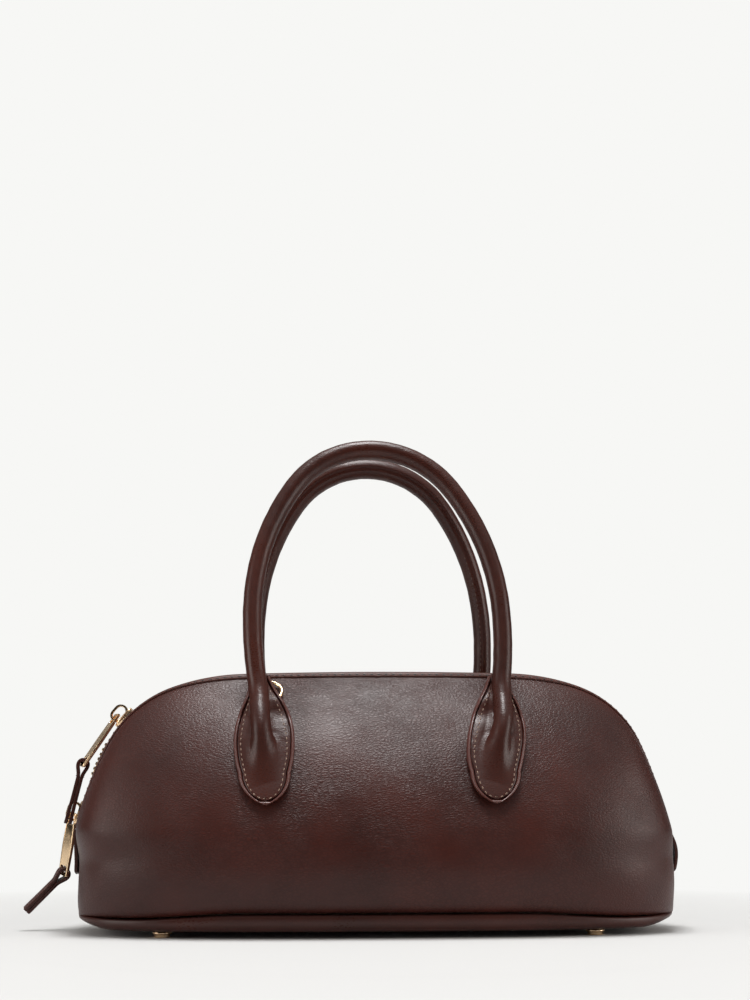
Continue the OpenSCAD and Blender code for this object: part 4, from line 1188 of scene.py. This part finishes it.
def slider(word, centre, radius, slope):
    outline = rounded([(-6, -2.9), (-3, -4.8), (4.1, -4.8), (6, -3.2), (6, 3.2), (4.1, 4.8), (-3, 4.8),
                       (-6, 2.9)], 1.8, 4)
    top = cut_plate(f"{word}_slider_top", outline, 2.5, 3.55, 0.45)
    with reshaped(worked(top, "TRIANGULATE")) as co:
        co[:, 2] += 0.22 * (1 - (co[:, 1] / 4.8) ** 2) * (co[:, 2] > 3)
    parts = [top]
    for way in (-1, 1):
        outline = rounded([(-4.6, 0.5), (4.4, 0.5), (5.2, 2.9), (-5.4, 2.9)], 0.7, 3)
        flange = cut_plate(f"{word}_slider_flange", outline, -0.4, 0.4, 0.18, 2, (0, 2, 1))
        with reshaped(flange) as co:
            co[:, 1] += way * FLANGE_OUT
            co[:, 1] -= way * 1.2 * np.clip((-co[:, 0] - 3) / 3, 0, 1)
        parts.append(tidy(flange))
    outline = rounded([(-4.6, -2.6), (-2.4, -4.1), (4.6, -4.1), (4.6, 4.1), (-2.4, 4.1), (-4.6, 2.6)], 1.2, 3)
    under = cut_plate(f"{word}_slider_under", outline, -2.35, -1.4, 0.25, 2)
    outline = rounded([(1.8, -0.38), (4.3, -0.38), (4.3, 0.38), (1.8, 0.38)], 0.3, 3)
    post = cut_plate(f"{word}_slider_post", outline, -1.8, 3.0, 0.05, 1)
    angles = np.concatenate([np.linspace(256, 90, 26), np.linspace(90, -76, 26)])
    centre_x = np.concatenate([np.full(26, -LOOP_HALF), np.full(26, LOOP_HALF)])
    loop = xyz(centre_x + LOOP_R * np.cos(np.radians(angles)), 0, LOOP_UP + LOOP_R * np.sin(np.radians(angles)))
    bridge = swept(f"{word}_slider_bridge", loop, lambda a, g: (np.abs(np.cos(g) / 1.1) ** 4
                   + np.abs(np.sin(g) / 0.64) ** 4) ** -0.25, 16, np.array([[0.0, 1.0, 0.0]] * len(loop)))
    made = joined(f"{word}_slider_body", *parts, under, post, bridge)
    with reshaped(made) as co:  # bent over the zip's own curve
        co[:, 2] -= co[:, 0] ** 2 / (2 * radius)
    set_down(made, slider_seat(centre, radius, slope))
    return fasten(shaded(made, 38), pale_gold, f"{word}_slider", "gold_metal", f"{word}_slider")


for word, arc, park in (("upper", SHOULDER, UPPER_PARK), ("lower", END, LOWER_PARK)):
    slider(word, ARCS[arc][3], ARCS[arc][0], park)


# pulls: a bar across the loop, two arms, and a tapered plate with a slot; made hanging along -Z
def posed(at, pose, swing=0.0):
    made = Matrix.Translation(Vector(at) * MM)
    for angle, axis in zip((*pose, swing), "YXZY"):
        made = made @ Matrix.Rotation(math.radians(angle), 4, axis)
    return made


def pull(word, at, pose):
    outline = rounded([(-3.8, 0.2), (-3.8, -5), (-4.5, -15.6), (-3.8, -31.3), (3.8, -31.3), (4.5, -15.6),
                       (3.8, -5), (3.8, 0.2), (2.6, 0.2), (2.6, -5.2), (-2.6, -5.2), (-2.6, 0.2)], 1.1, 5)
    plate = cut_plate(f"{word}_pull_plate", outline, -0.85, 0.85, 0)
    outline = rounded([(-2.8, -29.4), (2.8, -29.4), (2.8, -26.3), (-2.8, -26.3)], 0.7, 4)
    slot = cut_plate("slot_cutter", outline, -3, 3, 0)
    worked(plate, "BOOLEAN", object=slot, operation="DIFFERENCE", solver="EXACT")
    bpy.data.objects.remove(slot)
    eased_edges(plate, 0.36, angle=40)
    co = points_of(plate) / MM
    put_points(plate, xyz(co[:, 2] * (1 - 0.2 * (co[:, 1] > -4.5)), co[:, 0], co[:, 1]))
    tidy(plate, 0.001)
    bar = xyz(0, np.linspace(-3.75, 3.75, 9), 0)
    bar = swept(f"{word}_pull_bar", bar, lambda a, g: 0.82 - 0.3 * (np.abs(2 * a - 1) > 0.98), 20)
    made = set_down(joined(f"{word}_pull_body", plate, bar), posed(at, pose))
    return fasten(shaded(made, 32), pale_gold, f"{word}_pull", "gold_metal", f"{word}_pull")


# degrees about Y, X and the hanging length; the pulls have turned a little further than their thongs
UPPER_POSE, LOWER_POSE = (31, -9, 8), (8, 9, 20)
pull("upper", (-133.223, 0, 107.557), (*UPPER_POSE[:2], UPPER_POSE[2] + 14))
pull("lower", (-153.357, 0, 57.4809), (*LOWER_POSE[:2], LOWER_POSE[2] + 20))


# thongs: a strip folded round the bar at a pull's tip, its two leaves stitched together
def thong(word, at, pose, swing, length, flare):
    t, hole = 1.75, 1.75
    loop = [(-(hole + t / 2) * math.cos(a), (hole + t / 2) * math.sin(a))
            for a in np.linspace(-0.5, math.pi + 0.5, 26)]
    leaf_x = t / 2 + 0.01
    down = [(leaf_x, -5.2), (leaf_x, -length * 0.6), (leaf_x + flare, -length)]
    line = [(-x, z) for x, z in down[::-1]] + loop + [(x, z) for x, z in down]
    line = eased(evened(line, 0.55), 6)

    def place(a, v):
        x, z = read_off(a, np.linspace(0, 1, len(line)), line).T
        wide = 2.5 * (1 - 0.08 * np.exp(-((z + 5.5) / 2.5) ** 2))
        cut = np.clip((-z - length + 2.2) / 2.2, 0, 1)
        across = 2 * v - 1
        return xyz(x, across * wide * (1 - 0.12 * cut ** 2), z + 0.25 * np.sin(across * 3) * cut)

    strip = cut_sheet(f"{word}_thong_strip", 150, 8, place)
    worked(strip, "SOLIDIFY", thickness=t * MM, offset=0.0, use_even_offset=True)
    eased_edges(strip, 0.3)
    set_down(strip, posed(at, pose, swing))
    fasten(shaded(tidy(strip), 50), trim_calf, f"{word}_thong", "trim_leather", f"{word}_thong")
    seats = [seat((way * (t + 0.2), 0, z), (0, 1, 0), (way, 0, 0)) for way in (-1, 1) for z in (-5.0, -5.9)]
    marks = [copied(shaded(stitch_template(2.1, 0.6)), [place], "mark") for place in seats]
    knot = set_down(joined(f"{word}_thong_stitches", *marks), posed(at, pose, swing))
    return fasten(knot, seam_thread, f"{word}_thong", "trim_leather")


thong("upper", (-148.636, -4.73996, 81.9042), UPPER_POSE, -20, 30, 0.2)
thong("lower", (-157.522, 4.73996, 27.8452), LOWER_POSE, 38, 25, 0.1)


# strap rings stay as they are; each is held by a looped leather keeper
RING_MID = (55.6376, -23.8432, 117.844)
RING_N, RING_UP = (0.0219996, -0.762492, 0.646623), (-0.0186488, 0.646354, 0.76281)
for side, word, hand in ((FRONT, "front", -1), (BACK, "back", 1)):
    bend = [(-8.6, -0.9), (-8.5, 0.9), (-7.6, 1.75), (-6.2, 1.75), (-5.2, 0.9), (-5.0, -0.9)]
    line = eased(evened(bend, 0.3), 3)

    def keeper_place(a, v):
        y, z = read_off(a, np.linspace(0, 1, len(line)), line).T
        at = RING_MID + xyz((2 * v - 1) * 2.4, y, z) @ [np.cross(RING_UP, RING_N), RING_UP, RING_N]
        return at * np.array([hand, -side, 1.0])

    keeper = cut_sheet(f"{word}_keeper_loop", 40, 6, keeper_place)
    worked(keeper, "SOLIDIFY", thickness=0.5 * MM, offset=0.0)
    eased_edges(keeper, 0.12, 2)
    fasten(shaded(tidy(keeper), 50), trim_calf, "bag", "trim_leather", f"{word}_ring_keeper")


# inside: linings, pocket and floor, and the cores of the handles
def lining_place(side, a, v):
    u, t = (a * 2 - 1) * 0.97, 0.035 + 0.955 * v
    free = smooth(t / 0.25) * (1 - fade(t, 0.8, 0.15))
    slack = 0.5 * (1 + waves(u * 150, t * 110, 31 + side, 38)) * free
    return to_side(settle(net(u, t, -WALL - 0.9 - slack)), side)


POCKET_W, POCKET_H, POCKET_LOW, CLOTH_T = 150, 58, 42, 0.6


def pocket_place(a, v):
    sag = 0.9 * smooth(v / 0.3) * np.sin(np.pi * a)
    return to_side(settle(skin(POCKET_W * (a - 0.5), POCKET_LOW + POCKET_H * v, -5.3 - sag)), BACK)


for side, word in BOTH:
    cloth = thick_sheet(f"{word}_lining_cloth", 90, 40, partial(lining_place, side), (0, side, 0), CLOTH_T)
    fasten(cloth, lining_weave, "bag", "lining_cloth", f"{word}_lining")
    core = swept(f"{word}_core_cord", handle_path(side)[10:-10],
                 lambda a, angle: 3.15 + 0.08 * np.cos(6 * angle + a * 160), 24)
    bend_over(fasten(shaded(core), core_twine, None, "core_cord", f"{word}_handle_core"))
pocket = thick_sheet("slip_pocket_cloth", 60, 30, pocket_place, (0, -1, 0), CLOTH_T)
fasten(pocket, lining_weave, "bag", "lining_cloth", "slip_pocket")
floor_cloth = thick_sheet("floor_cloth", 90, 16, partial(disc_place, 8.5, 8.6), (0, 0, 1), CLOTH_T,
                          closed=True)
fasten(floor_cloth, lining_weave, "bag", "lining_cloth", "floor_lining")

# solids that stay as they are, with their finish
KEPT = ((base_board_finish, ("base_board", "front_reinforcements", "back_reinforcements")),
        (rivet_steel, ("foot_washers",)), (pale_gold, ("front_strap_ring", "back_strap_ring")))
for finish, names in KEPT:
    for name in names:
        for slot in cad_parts[name].material_slots:
            slot.material = finish


# stage: a pale sweep behind and below, and a soft studio that is dark at the horizon and bright overhead
BACKDROP, FLOOR = shade(247, 247, 245), shade(208, 208, 207)
SWEEP_W, SWEEP_H, SWEEP_R = 6000, 2600, 500
SWEEP_NEAR, SWEEP_FAR = -700, 900


def sweep_place(a, v):
    bend = [(SWEEP_FAR + SWEEP_R * sin(k), SWEEP_R - SWEEP_R * cos(k)) for k in range(0, 91, 10)]
    y, z = along_line([(SWEEP_NEAR, 0), (SWEEP_FAR, 0)] + bend + [(SWEEP_FAR + SWEEP_R, SWEEP_H)], v)
    return xyz((a - 0.5) * SWEEP_W, y, z)


sweep = facing(cut_sheet("sweep", 8, 60, sweep_place), (0, -1, 1))
pale = Finish("pale_sweep")
lit = pale.node("BsdfPrincipled", None, {"Base Color": FLOOR, "Roughness": 0.9})
even = pale.node("Emission", None, {"Color": BACKDROP, "Strength": 1.0})
far = pale.node("VectorMath", {"operation": "LENGTH"}, [pale.places()], out=1)
seen = pale.node("LightPath") * pale.stretch(far, 0.2, 0.5)
pale.node_out(pale.node("MixShader", None, [seen, lit, even]))
sweep.data.materials.clear()
sweep.data.materials.append(pale.material)
shaded(sweep)


def soft_lamp(name, at, aim, size, watts, tint=(1, 1, 1)):
    alone()
    bpy.ops.object.light_add(type="AREA", location=Vector(at) * MM)
    lamp = bpy.context.object
    lamp.name = name
    lamp.rotation_euler = (Vector(aim) - Vector(at)).to_track_quat("-Z", "Y").to_euler()
    lamp.data.shape = "RECTANGLE"
    lamp.data.size, lamp.data.size_y = size[0] * MM, size[1] * MM
    lamp.data.energy, lamp.data.color = watts, tint


soft_lamp("over", (0, -150, 1300), (0, 0, 60), (440, 520), 14.5)
for side, word, watts in ((-1, "left", 5.4), (1, "right", 6.0)):
    soft_lamp(word, (1000 * side, -400, 280), (60 * side, 0, 60), (560, 800), watts, (1, 0.95, 0.91))


# the room's light by height, and an even pale tone where the camera looks past the sweep
ROOM_LEVEL = 1.1
ROOM_TONES = ((0.0, 0.0), (0.17, 0.0), (0.32, 0.05), (0.5, 0.11), (0.75, 0.38), (1.0, 0.85))
room = Finish("room", bpy.data.worlds, "World")
height = room.node("SeparateXYZ", None, [room.node("TexCoord")], out=2)
tones = room.ramp(height, *((at, (tone, tone, tone * 0.99)) for at, tone in ROOM_TONES))
room_light = room.node("Background", None, {"Color": tones, "Strength": ROOM_LEVEL})
plain = room.node("Background", None, {"Color": BACKDROP})
room.node_out(room.node("MixShader", None, [room.node("LightPath"), room_light, plain]))
bpy.context.scene.world = room.material

set_camera()
bpy.context.scene.view_settings.view_transform = "Standard"
